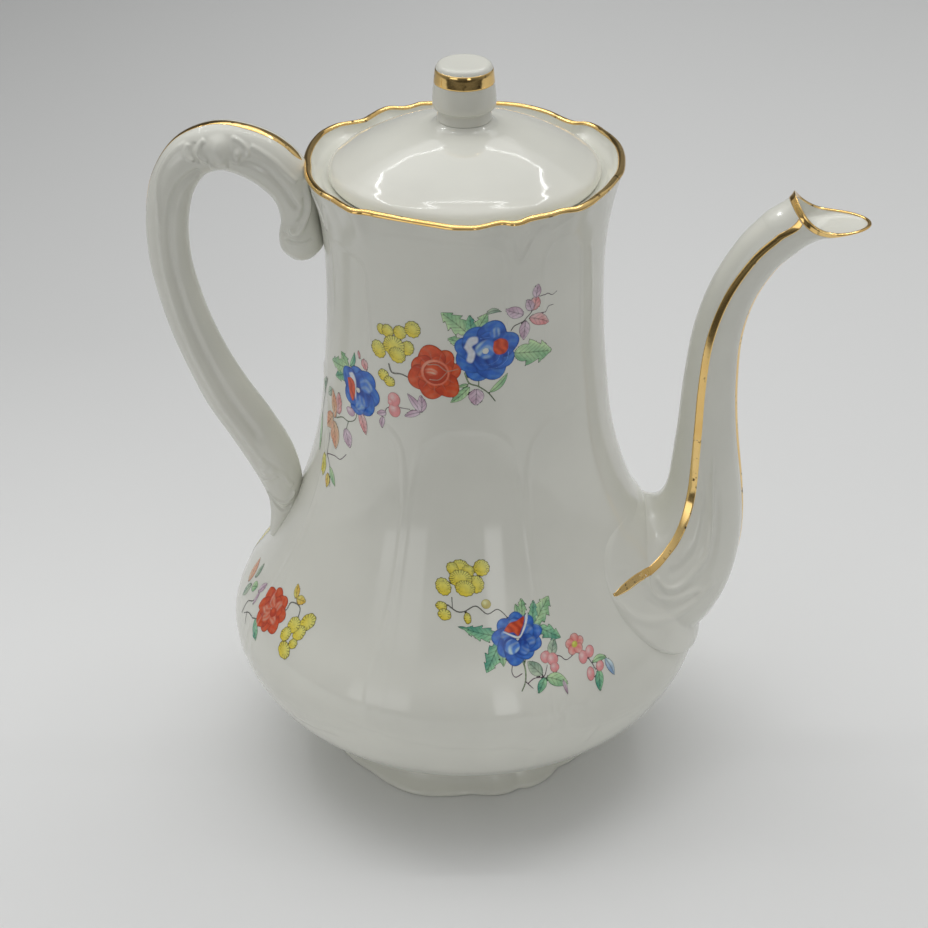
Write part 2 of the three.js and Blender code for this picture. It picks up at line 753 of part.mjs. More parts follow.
const mouthSkirtShare = 0.22;
function makeMouthGilding() {
  const ring = (pointOf) => Array.from({ length: spoutSides }, (_, side) => pointOf((side / spoutSides) * turn));
  const above = (inset, rise) => ring((angle) => mouthPoint(angle, inset).add(new THREE.Vector3(0, 0, rise)));
  const near = gildGap;
  const far = gildGap + gildThickness;
  const skin = (drop, rise) => ring((angle) => mouthSkin(angle, drop, rise));
  return surfaceOf([
    skin(mouthSkirtShare, near),
    skin(0, near),
    above(0, near),
    above(mouthWall, near),
    above(mouthWall, far),
    above(0, far),
    skin(0, far),
    skin(mouthSkirtShare, far),
  ], true);
}

function addPiece(group, name, geometry, material) {
  const mesh = new THREE.Mesh(geometry, material);
  mesh.name = name;
  group.add(mesh);
}

const envelope = bodyEnvelope(seatGap);
const rimEnvelope = bodyEnvelope(rimGap).trimByPlane([0, 0, 1], rimHeight - gildRimDrop - 2 * seatGap);

const body = makeBody();
const pot = new THREE.Group();
addPiece(pot, "pot_body", geometryOf(body.trimByPlane([0, 0, -1], -seamHeight)), porcelain);
addPiece(pot, "pot_neck", geometryOf(body.trimByPlane([0, 0, 1], seamHeight + seamGap)), porcelain);
addPiece(pot, "foot_ring", makeFoot(), porcelain);
addPiece(pot, "spout", makeSpout(envelope), porcelain);
addPiece(pot, "handle", makeHandle(envelope, rimEnvelope), porcelain);
addPiece(pot, "rim_gilding", makeRimGilding(), gold);
addPiece(pot, "spout_mouth_gilding", makeMouthGilding(), gold);
addPiece(pot, "spout_line_near", makeSpoutLine(1), gold);
addPiece(pot, "spout_line_far", makeSpoutLine(-1), gold);
addPiece(pot, "spout_line_ridge", makeSpoutRidgeLine(), gold);
addPiece(pot, "handle_line", makeHandleLine(), gold);

const lid = new THREE.Group();
addPiece(lid, "lid", makeLid(), porcelain);
addPiece(lid, "lid_knob", makeKnob(), porcelain);
addPiece(lid, "knob_band", makeKnobBand(), gold);

const group = new THREE.Group();
group.add(pot, lid);
const extent = new THREE.Box3().setFromObject(group);
group.position.x = -(extent.min.x + extent.max.x) / 2;

export default group;
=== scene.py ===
# %% [markdown]
# # A gilt porcelain coffee pot
# The real pot is slip-cast porcelain: a baluster body with moulded panels, a lobed foot, an S-shaped spout,
# a scroll handle and a domed lid. It is glazed all over, fired gold trims it, and flower sprays are painted
# on the glaze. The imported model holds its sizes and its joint. Here each form is worked out again as a fine
# surface with numpy, so that the glaze has something to reflect, and gets its finish.

import json
import math

import bpy
import numpy as np
from mathutils import Matrix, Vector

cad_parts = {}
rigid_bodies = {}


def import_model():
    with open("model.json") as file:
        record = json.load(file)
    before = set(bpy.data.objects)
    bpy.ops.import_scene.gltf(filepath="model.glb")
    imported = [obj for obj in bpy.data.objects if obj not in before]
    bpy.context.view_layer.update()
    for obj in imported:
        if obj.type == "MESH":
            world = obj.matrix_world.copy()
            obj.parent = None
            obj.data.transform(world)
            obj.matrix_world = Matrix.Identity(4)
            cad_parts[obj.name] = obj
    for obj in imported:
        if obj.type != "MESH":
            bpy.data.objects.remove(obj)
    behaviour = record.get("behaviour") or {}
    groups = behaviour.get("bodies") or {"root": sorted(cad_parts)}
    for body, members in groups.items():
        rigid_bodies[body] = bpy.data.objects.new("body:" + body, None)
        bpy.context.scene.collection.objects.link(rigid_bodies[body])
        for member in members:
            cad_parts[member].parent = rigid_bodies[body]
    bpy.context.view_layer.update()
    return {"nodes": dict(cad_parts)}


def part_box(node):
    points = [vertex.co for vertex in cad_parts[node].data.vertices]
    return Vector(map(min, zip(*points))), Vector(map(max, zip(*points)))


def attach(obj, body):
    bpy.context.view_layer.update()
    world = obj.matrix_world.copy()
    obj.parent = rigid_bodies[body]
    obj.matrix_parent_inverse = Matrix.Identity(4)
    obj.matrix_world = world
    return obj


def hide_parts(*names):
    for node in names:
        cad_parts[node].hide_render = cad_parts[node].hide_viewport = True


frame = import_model()
foot_low, foot_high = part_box("foot_ring")
axis_x = (foot_low.x + foot_high.x) / 2 * 1000
print("nodes", len(frame["nodes"]), "pot axis at x =", round(axis_x, 3), "mm")

# %% [markdown]
# ## The camera and the studio
# The picture was taken from about 29 degrees above with a long lens, close to square on to the plane through
# spout and handle. A long lens needs no shift, so the camera is a place, a tilt and a focal length. The
# studio is a pale sheet that curves up behind the pot. Its colour carries painted shade, darker towards the
# back and on the left, and in front of the table it is painted nearly black as a painted dark room. A large
# soft lamp hangs overhead, with a frame of four light strips below it whose thin bright ring the lid mirrors.
# The world is dark behind the camera, apart from two lit panes that the belly mirrors, so the gold turns
# black in places.

# %% Camera
focal_pixels, frame_pixels, sensor_width = 2750, 928, 36
camera_place = (axis_x / 1000 - 0.0006, -0.7782, 0.5349)
look_down, lean = 29.07, -0.26
camera_data = bpy.data.cameras.new("camera")
camera_data.sensor_width = sensor_width
camera_data.lens = focal_pixels / frame_pixels * sensor_width
camera_data.clip_start = 0.01
camera = bpy.data.objects.new("camera", camera_data)
tilt = Matrix.Rotation(math.radians(90 - look_down), 4, "X")
roll = Matrix.Rotation(math.radians(lean), 4, "Z")
camera.matrix_world = Matrix.Translation(camera_place) @ tilt @ roll
bpy.context.scene.collection.objects.link(camera)
bpy.context.scene.camera = camera
print("camera lens", round(camera_data.lens, 1), "mm at", [round(v, 3) for v in camera.location])


# %% Node helpers
def node(tree, kind, inputs=None, **settings):
    """Adds a shader node; inputs maps a socket to a value, or to another node's output socket."""
    made = tree.nodes.new(kind)
    for name, value in settings.items():
        setattr(made, name, value)
    for socket, value in (inputs or {}).items():
        if isinstance(value, bpy.types.NodeSocket):
            tree.links.new(value, made.inputs[socket])
        else:
            made.inputs[socket].default_value = value
    return made


def calc(tree, operation, *values):
    """A math node on numbers or sockets."""
    return node(tree, "ShaderNodeMath", dict(enumerate(values)), operation=operation).outputs[0]


def remap(tree, value, from_low, from_high, to_low=0.0, to_high=1.0):
    """A value carried from one range to another, and held at its ends."""
    ranges = {"From Min": from_low, "From Max": from_high, "To Min": to_low, "To Max": to_high}
    return node(tree, "ShaderNodeMapRange", {"Value": value, **ranges}).outputs[0]


def mix(tree, share, first, second, how="MIX"):
    """Two colours mixed by a share."""
    inputs = {"Factor": share, "A": first, "B": second}
    return node(tree, "ShaderNodeMix", inputs, data_type="RGBA", blend_type=how).outputs["Result"]


def noise(tree, place, scale, detail=2.0):
    """Clouds: scale of them to the metre, about 0.5."""
    inputs = {"Vector": place, "Scale": scale, "Detail": detail}
    return node(tree, "ShaderNodeTexNoise", inputs).outputs["Fac"]


def new_material(name):
    """An empty material, its node tree and the object coordinates in it."""
    material = bpy.data.materials.new(name)
    material.use_nodes = True
    tree = material.node_tree
    tree.nodes.clear()
    return material, tree, node(tree, "ShaderNodeTexCoord").outputs["Object"]


def surface(tree, inputs):
    """The material's surface: a principled shader with these inputs."""
    shader = node(tree, "ShaderNodeBsdfPrincipled", inputs)
    node(tree, "ShaderNodeOutputMaterial", {"Surface": shader.outputs[0]})


def ramp(tree, factor, stops):
    """A colour ramp: stops are (position, colour), straight lines between them."""
    made = node(tree, "ShaderNodeValToRGB", {"Fac": factor})
    elements = made.color_ramp.elements
    while len(elements) < len(stops):
        elements.new(0.5)
    for element, (position, colour) in zip(elements, stops):
        element.position = position
        element.color = (*colour, 1)
    return made.outputs["Color"]


# %% Backdrop: a floor that curves up into a wall
def backdrop_points(half=1.6, front=-1.5, bend=1.1, radius=0.5, top=1.6, steps=40):
    """A sheet: level from front to bend, a quarter circle of that radius, then straight up to top."""
    turn = np.linspace(0, np.pi / 2, steps)
    y = np.concatenate([[front, 0], bend + radius * np.sin(turn), [bend + radius]])
    z = np.concatenate([[0, 0], radius * (1 - np.cos(turn)), [top]])
    x = np.linspace(-half, half, 9)
    return np.stack([np.broadcast_to(x, (len(y), 9)),
                     np.broadcast_to(y[:, None], (len(y), 9)),
                     np.broadcast_to(z[:, None], (len(z), 9))], -1)


def grid_faces(rows, columns, wrap=True, loop=False):
    """Four-cornered faces of a grid of points. wrap joins the last column to the first, loop the rows."""
    row = np.arange(rows if loop else rows - 1)[:, None]
    column = np.arange(columns if wrap else columns - 1)[None, :]
    below, above = row * columns, ((row + 1) % rows) * columns
    right = (column + 1) % columns
    return np.stack([below + column, below + right, above + right, above + column], -1).reshape(-1, 4)


def mesh_of(name, vertices, faces):
    """A mesh from points in metres and a list of face arrays, each with its own number of corners."""
    mesh = bpy.data.meshes.new(name)
    mesh.vertices.add(len(vertices))
    mesh.vertices.foreach_set("co", np.asarray(vertices, np.float32).ravel())
    corners = np.concatenate([face.ravel() for face in faces])
    sizes = np.concatenate([np.full(len(face), face.shape[1]) for face in faces])
    mesh.loops.add(len(corners))
    mesh.loops.foreach_set("vertex_index", corners.astype(np.int32))
    mesh.polygons.add(len(sizes))
    mesh.polygons.foreach_set("loop_start", (np.cumsum(sizes) - sizes).astype(np.int32))
    mesh.polygons.foreach_set("use_smooth", np.ones(len(sizes), bool))
    mesh.update(calc_edges=True)
    mesh.validate()
    return mesh


sheet_points = backdrop_points()
sheet_faces = grid_faces(*sheet_points.shape[:2], wrap=False)
sheet_mesh = mesh_of("backdrop", sheet_points.reshape(-1, 3), [sheet_faces])
backdrop = bpy.data.objects.new("backdrop", sheet_mesh)
bpy.context.scene.collection.objects.link(backdrop)

sheet_paint, tree, place = new_material("backdrop_paper")
place = node(tree, "ShaderNodeSeparateXYZ", {"Vector": place})
# Painted shade: the paper's colour darkens towards the back, more so on the left. In front of y = -0.44 m it
# is painted nearly black as a painted dark room.
behind = remap(tree, place.outputs["Y"], 0.06, 0.3)
aside = remap(tree, place.outputs["X"], -0.4, 0.0, 0.22, 0.0)
near = remap(tree, place.outputs["Y"], -0.44, -0.38, 1.0, 0.0)
shade = calc(tree, "MULTIPLY_ADD", place.outputs["Y"], 0.3, calc(tree, "MULTIPLY", aside, behind))
shade = calc(tree, "ADD", shade, near)
painted_paper_shade = ramp(tree, shade, [(0.0, (0.83, 0.835, 0.83)), (0.34, (0.50, 0.505, 0.50)),
                                (0.8, (0.04, 0.04, 0.04))])
surface(tree, {"Base Color": painted_paper_shade, "Roughness": 0.9})
backdrop.data.materials.append(sheet_paint)
print("backdrop", len(sheet_mesh.polygons), "faces")


# %% Lamps and world
def soft_lamp(name, place, aim, size, power):
    """A white area lamp at place that faces aim, in metres and watts."""
    lamp = bpy.data.lights.new(name, "AREA")
    lamp.shape = "RECTANGLE"
    lamp.size, lamp.size_y = size
    lamp.energy = power
    made = bpy.data.objects.new(name, lamp)
    made.location = place
    direction = Matrix.Translation(aim).translation - made.location
    made.rotation_euler = direction.to_track_quat("-Z", "Y").to_euler()
    bpy.context.scene.collection.objects.link(made)


soft_lamp("lamp_above", (-0.15, 0.35, 1.5), (0, 0, 0.1), (2.0, 1.7), 7.6)
strip_height, strip_power = 1.2, 0.8
strips = [("strip_back", -0.05, 0.8, 1.3, 0.02), ("strip_front", -0.05, 0.08, 1.3, 0.012),
          ("strip_left", -0.7, 0.44, 0.022, 0.7), ("strip_right", 0.6, 0.44, 0.022, 0.7)]
for name, x, y, width, depth in strips:
    soft_lamp(name, (x, y, strip_height), (x, y + 1e-4, 0), (width, depth), strip_power)

world = bpy.data.worlds.new("studio_air")
world.use_nodes = True
bpy.context.scene.world = world
tree = world.node_tree
tree.nodes.clear()
direction = node(tree, "ShaderNodeTexCoord").outputs["Generated"]
parts = node(tree, "ShaderNodeSeparateXYZ", {"Vector": direction})
sideways, backward, upward = (parts.outputs[axis] for axis in "XYZ")
level = calc(tree, "MULTIPLY_ADD", upward, 0.58, calc(tree, "MULTIPLY_ADD", backward, 0.27, 0.31))
greys = [(0.0, 0.05), (0.31, 0.30), (0.58, 0.52), (0.9, 0.84)]
air_tone = ramp(tree, level, [(at, (grey, grey, grey)) for at, grey in greys])
toward = calc(tree, "MULTIPLY", backward, -1.0)
across = calc(tree, "DIVIDE", sideways, toward)
slope = calc(tree, "DIVIDE", upward, toward)
ahead = remap(tree, toward, 0.1, 0.3)


def lit_pane(colour, left, right, low, high, fade, tone):
    """Adds a bright pane behind the camera, a box of (x / -y, z / -y) of the direction, to the colour."""
    soft = 0.04
    share = ahead
    for value, start, end in ((across, left, left + soft), (across, right, right - soft),
                              (slope, low, low + soft), (slope, high, high - fade)):
        share = calc(tree, "MULTIPLY", share, remap(tree, value, start, end))
    return mix(tree, share, colour, (tone, tone, tone, 1), "ADD")


sky = lit_pane(air_tone, -1.5, -0.48, 0.0, 0.75, 0.5, 1.5)
sky = lit_pane(sky, 0.2, 0.46, 0.0, 0.8, 0.5, 2.4)
air = node(tree, "ShaderNodeBackground", {"Color": sky, "Strength": 0.8})
node(tree, "ShaderNodeOutputWorld", {"Surface": air.outputs[0]})
bpy.context.scene.view_settings.view_transform = "Standard"
print("lamps", len(bpy.data.lights))

# %% [markdown]
# ## Tools for worked-out surfaces
# Every form here is a grid of points. One number runs along the rows, another round the columns, and a
# formula gives the point. A few small tools come back often: a smooth step, a rounded ridge, a curve through
# given stations, and the distance from a drawn path.


# %% Shape tools
def soft_step(low, high, value):
    """0 below low, 1 above high, 3t^2 - 2t^3 between."""
    t = np.clip((value - low) / (high - low), 0, 1)
    return t * t * (3 - 2 * t)


def ridge(distance, half):
    """A rounded ridge: (1 + cos(pi d / half)) / 2 up to d = half on both sides, 0 beyond."""
    return 0.5 * (1 + np.cos(np.pi * np.clip(np.abs(distance) / half, 0, 1)))


def through(stations, values, at):
    """A smooth curve through (station, value) pairs: cubic Hermite with the slopes of np.gradient."""
    stations, values = np.asarray(stations, float), np.asarray(values, float)
    slopes = np.gradient(values, stations)
    at = np.clip(at, stations[0], stations[-1])
    low = np.clip(np.searchsorted(stations, at, side="right") - 1, 0, len(stations) - 2)
    gap = stations[low + 1] - stations[low]
    t = (at - stations[low]) / gap
    return ((2 * t**3 - 3 * t**2 + 1) * values[low] + (t**3 - 2 * t**2 + t) * gap * slopes[low]
            + (3 * t**2 - 2 * t**3) * values[low + 1] + (t**3 - t**2) * gap * slopes[low + 1])


def curve(knots, t):
    """A uniform Catmull-Rom curve through the knots, for t from 0 to 1: each span is the cubic whose end
    slopes are half the chord between the neighbours."""
    knots = np.asarray(knots, float)
    last = len(knots) - 1
    place = np.clip(np.asarray(t, float), 0, 1) * last
    low = np.minimum(np.floor(place).astype(int), last)
    w = (place - low)[..., None]
    p0, p1 = knots[np.maximum(low - 1, 0)], knots[low]
    p2, p3 = knots[np.minimum(low + 1, last)], knots[np.minimum(low + 2, last)]
    v0, v1 = (p2 - p0) / 2, (p3 - p1) / 2
    return (2 * p1 - 2 * p2 + v0 + v1) * w**3 + (-3 * p1 + 3 * p2 - 2 * v0 - v1) * w**2 + v0 * w + p1


def from_straight(x, y, start, end, scale=1.0):
    """Distance of each point from the straight piece between two points, and the share of the way along it
    of the nearest spot. scale is the mm for one of the first number."""
    ahead, aside = (x - start[0]) * scale, y - start[1]
    run, climb = (end[0] - start[0]) * scale, end[1] - start[1]
    share = np.clip((ahead * run + aside * climb) / np.maximum(run * run + climb * climb, 1e-9), 0, 1)
    return np.hypot(ahead - share * run, aside - share * climb), share


def from_path(x, y, knots, scale=1.0):
    """Least distance of each point from a chain of straight pieces, and the share of the way along it."""
    nearest, along = np.full(np.shape(x), 1e9), np.zeros(np.shape(x))
    for place, (start, end) in enumerate(zip(knots[:-1], knots[1:])):
        distance, share = from_straight(x, y, start, end, scale)
        nearer = distance < nearest
        nearest = np.where(nearer, distance, nearest)
        along = np.where(nearer, (place + share) / (len(knots) - 1), along)
    return nearest, along


def unit(vectors):
    """Vectors made 1 long."""
    return vectors / np.maximum(np.linalg.norm(vectors, axis=-1, keepdims=True), 1e-12)


def add_piece(name, points, body, nodes, ends=None, loop=False, skip=None, more=None):
    """Makes a closed piece from a grid of points in mm about the pot's axis. ends are the two pole points
    that close the first and the last row, skip marks faces to leave out, more are further faces. The faces
    are turned outwards by the sign of the volume."""
    rows, columns = points.shape[:2]
    vertices = points.reshape(-1, 3)
    faces = [grid_faces(rows, columns, loop=loop)]
    if skip is not None:
        faces = [faces[0][~skip], more]
    if ends is not None:
        vertices = np.vstack([vertices, ends])
        column = np.arange(columns)
        right = (column + 1) % columns
        first, last = rows * columns, (rows - 1) * columns
        faces.append(np.stack([np.full(columns, first), right, column], -1))
        faces.append(np.stack([np.full(columns, first + 1), last + column, last + right], -1))
    a, b, c = (vertices[faces[0][:, i]] for i in range(3))
    d = vertices[faces[0][:, 3]]
    volume = np.sum(a * np.cross(b, c)) + np.sum(a * np.cross(c, d))
    if volume < 0:
        faces = [face[:, ::-1] for face in faces]
    placed = (vertices + np.array([axis_x, 0, 0])) / 1000
    piece = bpy.data.objects.new(name, mesh_of(name, placed, faces))
    bpy.context.scene.collection.objects.link(piece)
    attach(piece, body)
    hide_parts(*nodes)
    print(name, rows, "x", columns, "points")


# %% [markdown]
# ## The body's profile and moulded relief
# The body is turned, so a radius for each height gives its outline. What makes it rococo is the relief from
# the mould: arched panels on the belly, framed panels on the neck, shell work below the rim and a scalloped
# lip. The relief is a height in millimetres added to the radius. Each moulding is drawn as a path of
# (azimuth, height) and raised where the surface comes near it. Azimuth 0 faces the front and 90 the spout.

# %% Profile
wall, under_height, floor_height = 4, 17, 22.5
profile_height = [23.7, 28.96, 35.53, 42.9, 50, 60.53, 69.89, 81.59, 96.8, 116.69, 140.09, 167, 181.28,
                  193.52, 201.68, 207.8]
profile_radius = [62.6, 67.78, 72.26, 75.41, 76.6, 73.44, 67.11, 60.45, 53.29, 47.46, 44.63, 43.3, 43.69,
                  45.2, 47.05, 48.9]
rim_height, rim_radius = profile_height[-1], profile_radius[-1]


def body_radius(height):
    """The turned outline, without its relief."""
    return through(profile_height, profile_radius, height)


lip_turns = [
    -180, -167, -163, -160, -156, -151, -147, -141.6, -136, -130, -127, -122.6, -118, -110, -102, -94,
    -86, -78, -65, -60, -53, -46.5, -41, -37, -33, -28.5, -22, -15, -10, -4, 0, 3.5, 7.3, 11.3, 14, 16,
    19.4, 23, 32, 36.7, 42, 47, 54.5, 63, 71.5, 79, 88.7, 97, 106, 118, 124, 128, 130, 133.4, 138, 144,
    150, 154.5, 163, 168, 180]
lip_swing = [
    0.7, 1.0, 1.4, 0.3, -0.1, 2.1, 1.4, -0.4, -1.7, 0.2, 1.5, 2.1, 2.3, 1.7, 1.0, 0.5, 0.1, 0.6, 0.9, 0.9,
    0.5, 1.1, 1.4, -0.2, -0.7, -1.0, -0.9, -0.4, 0.3, 1.6, 1.9, 2.0, 0.9, -0.4, -0.3, 0.8, 0.7, -0.5,
    -0.5, -0.6, 1.0, 0.9, 0.1, -0.2, -0.4, 0.0, 0.2, 0.7, 1.3, 1.4, 1.5, 0.6, -1.3, -2.1, -1.8, -0.6, 0.3,
    0.8, 1.0, 0.6, 0.7]
lip_fade, lip_rise = 16, 0.9


def rim_lobes(azimuth, height):
    """Scallops of the lip, hand-finished and so uneven: how far it swings out at each azimuth. They fade out
    below the rim. Returns the shift out and up."""
    swing = through(lip_turns, lip_swing, (np.asarray(azimuth) + 180) % 360 - 180)
    fade = soft_step(rim_height - lip_fade, rim_height, height)
    return swing * fade, lip_rise * fade + 0 * swing


def near_path(azimuth, height, path):
    """Distance in mm on the unrolled body from a smooth path of (azimuth, height), and the share of the way
    along it. A degree counts as its length at the body's radius there."""
    knots = curve(path, np.linspace(0, 1, 25))
    return from_path(azimuth, height, knots, np.radians(1) * body_radius(height))


# %% Relief paths
panel_width = 45
arch_side = [(20.0, 48), (20.7, 54), (20.4, 63), (20.8, 74), (21.5, 86), (21.7, 96), (21.6, 108),
             (21.2, 118), (19.8, 127), (17.9, 132), (13.2, 136), (6.5, 138.4), (0, 139)]
arch_foot = [(20.0, 50), (19.4, 46.8), (16.5, 44.4), (9, 43.4), (0, 43.2)]
front_frame = [(-41, 199.2), (-32, 200), (-24, 200.9), (-9, 201.3), (5, 200.4), (11.4, 199), (14.6, 196.9),
               (16.1, 192.4), (16.8, 181), (17.2, 168), (17.5, 154)]
left_frame = [(-64, 190.2), (-55.5, 191.2), (-47, 190.6), (-43.6, 187.5), (-42.7, 183), (-42.8, 176.6),
              (-41.9, 166.7), (-41.5, 152)]
right_frame = [(46, 199.5), (37, 198), (33.4, 196.7), (31.9, 192), (32.8, 182), (33.3, 170), (33.5, 156)]
right_inner = [(46, 194.5), (49.5, 192.8), (52, 187), (53.7, 176.6), (54.5, 166), (54.8, 156)]
far_frame = [(56, 192), (58.7, 188.7), (61.5, 181), (63.1, 173.7), (63.6, 164)]
belly_edge = [(-31, 48), (-20.8, 46.4), (-8.8, 44.4), (3, 43.1), (12.6, 41.9), (16.5, 39.5)]
mouldings = [
    (front_frame, 1.1, 0.32), (left_frame, 1.1, 0.32), (right_frame, 1.1, 0.32), (right_inner, 1.0, 0.25),
    (far_frame, 1.0, 0.25),
    ([(17.0, 200.6), (18.6, 197.4), (21.2, 193.6), (23.4, 197.0), (26.4, 200.8)], 0.8, 0.55),
    ([(26.4, 200.8), (29.5, 203.4), (33.5, 202.0), (37.5, 203.4), (42, 205)], 0.9, 0.4),
    ([(17.0, 200.6), (13, 203.2), (8, 201.9), (2, 203.2), (-4, 204.6)], 0.9, 0.4),
    ([(20.0, 203.6), (21.6, 200.2), (23.4, 203.6)], 0.8, 0.4),
    ([(-60, 203.5), (-63.5, 200.4), (-67.5, 193.6), (-71, 200.4), (-75, 203.5)], 0.8, 0.5),
    ([(-67.5, 190), (-66.3, 184), (-67.8, 176), (-67.5, 168)], 0.7, 0.35),
    ([(-31, 48), (-20.8, 46.4), (-8.8, 44.4), (3, 43.1), (12.6, 41.9), (16.1, 38.9), (17.9, 33.4)], 1.2,
     0.25),
    ([(-50, 38), (-44.5, 38.2), (-39, 39), (-35.5, 39.8), (-32.5, 39.8)], 1.5, 0.4),
    ([(22.6, 48.7), (22.4, 51.2), (23.1, 53.2), (24.8, 54.7), (27.4, 54.4), (30, 52)], 1.2, 0.45),
    ([(30.5, 36.9), (31.2, 40.1), (33.4, 43.4), (39.5, 44), (48.6, 42.7)], 1.2, 0.3),
]


def relief(azimuth, height):
    """Millimetres that the moulding stands out. The pot is the same on both sides of the plane through
    spout and handle, so the azimuth is folded into -90 to 90 first. Below the belly's panels it steps in."""
    folded = (azimuth + 180) % 360 - 180
    folded = np.where(folded > 90, 180 - folded, np.where(folded < -90, -180 - folded, folded))
    in_panel = np.abs((folded + panel_width / 2) % panel_width - panel_width / 2)
    rise = np.zeros(np.broadcast(azimuth, height).shape)
    for path, high in ((arch_side, 0.26), (arch_foot, 0.22)):
        distance, _ = near_path(in_panel, height, path)
        rise = np.maximum(rise, high * ridge(distance, 1.4))
    for path, half, high in mouldings:
        distance, along = near_path(folded, height, path)
        fade = soft_step(0, 0.12, along) * soft_step(1, 0.85, along)
        rise = np.maximum(rise, high * fade * ridge(distance, half))
    edge = through(*zip(*belly_edge), folded)
    below = soft_step(edge + 0.6, edge - 0.8, height) * soft_step(27, 37, height)
    rise -= 0.55 * below * soft_step(-38, -26, folded) * soft_step(18.5, 16, folded)
    under_spout = soft_step(42, 52, azimuth) * soft_step(138, 128, azimuth) * soft_step(152, 138, height)
    return rise * (1 - under_spout)


def on_axis(radius, height, azimuth):
    """Points from radius, height and azimuth in degrees."""
    turn = np.radians(azimuth)
    radius, height, turn = np.broadcast_arrays(radius, height, turn)
    return np.stack([radius * np.sin(turn), -radius * np.cos(turn), height], -1)


def on_body(azimuth, height, lift=0.0):
    """A point on the glazed wall, lifted off it by some mm."""
    out, up = rim_lobes(azimuth, height)
    return on_axis(body_radius(height) + relief(azimuth, height) + out + lift, height + up, azimuth)


print("belly", body_radius(50), "waist", body_radius(167), "mm")

# %% [markdown]
# ## The body
# The wall is one closed skin. It runs from the middle of the underside over the outside to the lip, over the
# lip to the ledge that carries the lid, and down the inside to the floor. The rows lie close together where
# the moulding runs level and the columns follow every degree and less, because a glossy glaze shows each
# facet. The hole that feeds the spout is opened in the grid itself: a square patch is drawn into a circle on
# the outer and the inner wall, its faces are left out, and the two edges are joined by a tube.

# %% Body surface
body_columns = 480
azimuths = np.arange(body_columns) * 360 / body_columns
hole_height, hole_half, hole_turn, patch_turn = 69.5, 12.0, 8.51, 8.25
patch_low, patch_high = hole_height - hole_half, hole_height + hole_half
patch_rows = np.linspace(patch_low, patch_high, 13)
lip_height, lip_half, lip_round, ledge_height = 206.5, 1.2, 1.3, 203.6
outer_heights = np.concatenate([
    np.linspace(profile_height[0], patch_low, 31)[:-1], patch_rows, np.linspace(patch_high, 120, 20)[1:-1],
    np.linspace(120, 142, 24)[:-1], np.linspace(142, 186, 18)[:-1], np.linspace(186, lip_height, 28)])


def round_hole(height):
    """Draws the square patch at +X into the hole. m is the greater of the two shares of the patch's halves.
    On the patch's edge, m = 1, a point goes to the hole's oval, and up to m = 1.8 the shift fades out."""
    p, q = (azimuths - 90) / patch_turn, (height - hole_height) / hole_half + 0 * azimuths
    m, e = np.maximum(np.abs(p), np.abs(q)), np.maximum(np.hypot(p, q), 1e-6)
    stay = np.clip((m - 1) / 0.8, 0, 1)
    factor = np.where(m < 1.8, (1 - stay) / e + stay, 1)
    widen = 1 + (hole_turn / patch_turn - 1) * (m < 1.8) * (1 - stay)
    return 90 + p * factor * patch_turn * widen, hole_height + q * factor * hole_half


def rings(profile):
    """One plain ring of points for each radius and height."""
    return [on_axis(radius, height, azimuths) for radius, height in profile]


def lip_ring(inward, above):
    """A ring of the lip that keeps the scallops: so far in from the rim's radius, so high on its round."""
    out, up = rim_lobes(azimuths, rim_height)
    return on_axis(rim_radius - inward + out, rim_height - lip_round + above + up, azimuths)


under_rings = rings([(2, under_height), (20, under_height), (40.5, under_height), (41.6, under_height),
                     (45, 17.6), (49.4, 18.9), (56, 21), (60.4, 22.5), (61.9, 23.1)])
outer_rings = [on_body(*round_hole(height)) for height in outer_heights]
lip_turn = np.radians(np.linspace(20, 180, 9))
lip_rings = [lip_ring(lip_half * (1 - np.cos(turn)), lip_round * np.sin(turn)) for turn in lip_turn]
lobes_out, _ = rim_lobes(azimuths, rim_height)
slope_shares = np.array([0.2, 0.45, 0.7, 0.9])
slope_radii = through([0, 0.4, 1], [46.3, 45.0, 43.4], slope_shares)
slope_in = [on_axis(radius + lobes_out * (1 - share), 206.2 - 2.4 * share, azimuths)
            for radius, share in zip(slope_radii, slope_shares)]
gallery = rings([(43.2, ledge_height), (41.5, ledge_height), (40.4, 203.5), (39.8, 203.1), (39.6, 202.4),
                 (39.6, 198.4)])
inner_heights = np.concatenate([np.linspace(195, 90, 10), patch_rows[::-1], np.linspace(52, 32, 8)])


def inner_ring(height):
    """A ring of the inside, which keeps clear of the relief: the turned radius less the wall."""
    turn, height = round_hole(height)
    return on_axis(body_radius(height) - wall, height, turn)


inner_rings = [inner_ring(height) for height in inner_heights]
floor_rings = rings([(59.5, 28.6), (56.5, 25.6), (51, 23.4), (44, 22.7), (20, floor_height),
                     (2, floor_height)])
body_points = np.stack(under_rings + outer_rings + lip_rings + slope_in + gallery + inner_rings + floor_rings)


def patch_loop(first_row, row_step):
    """Numbers of the points round the patch: along its first row, up one side, back and down again."""
    rows = first_row + row_step * np.arange(len(patch_rows))
    per_column = 360 / body_columns
    columns = np.arange(round((90 - patch_turn) / per_column), round((90 + patch_turn) / per_column) + 1)
    path = np.concatenate([rows[0] * body_columns + columns,
                           rows[1:] * body_columns + columns[-1],
                           rows[-1] * body_columns + columns[-2::-1],
                           rows[-2:0:-1] * body_columns + columns[0]])
    return rows, columns, path


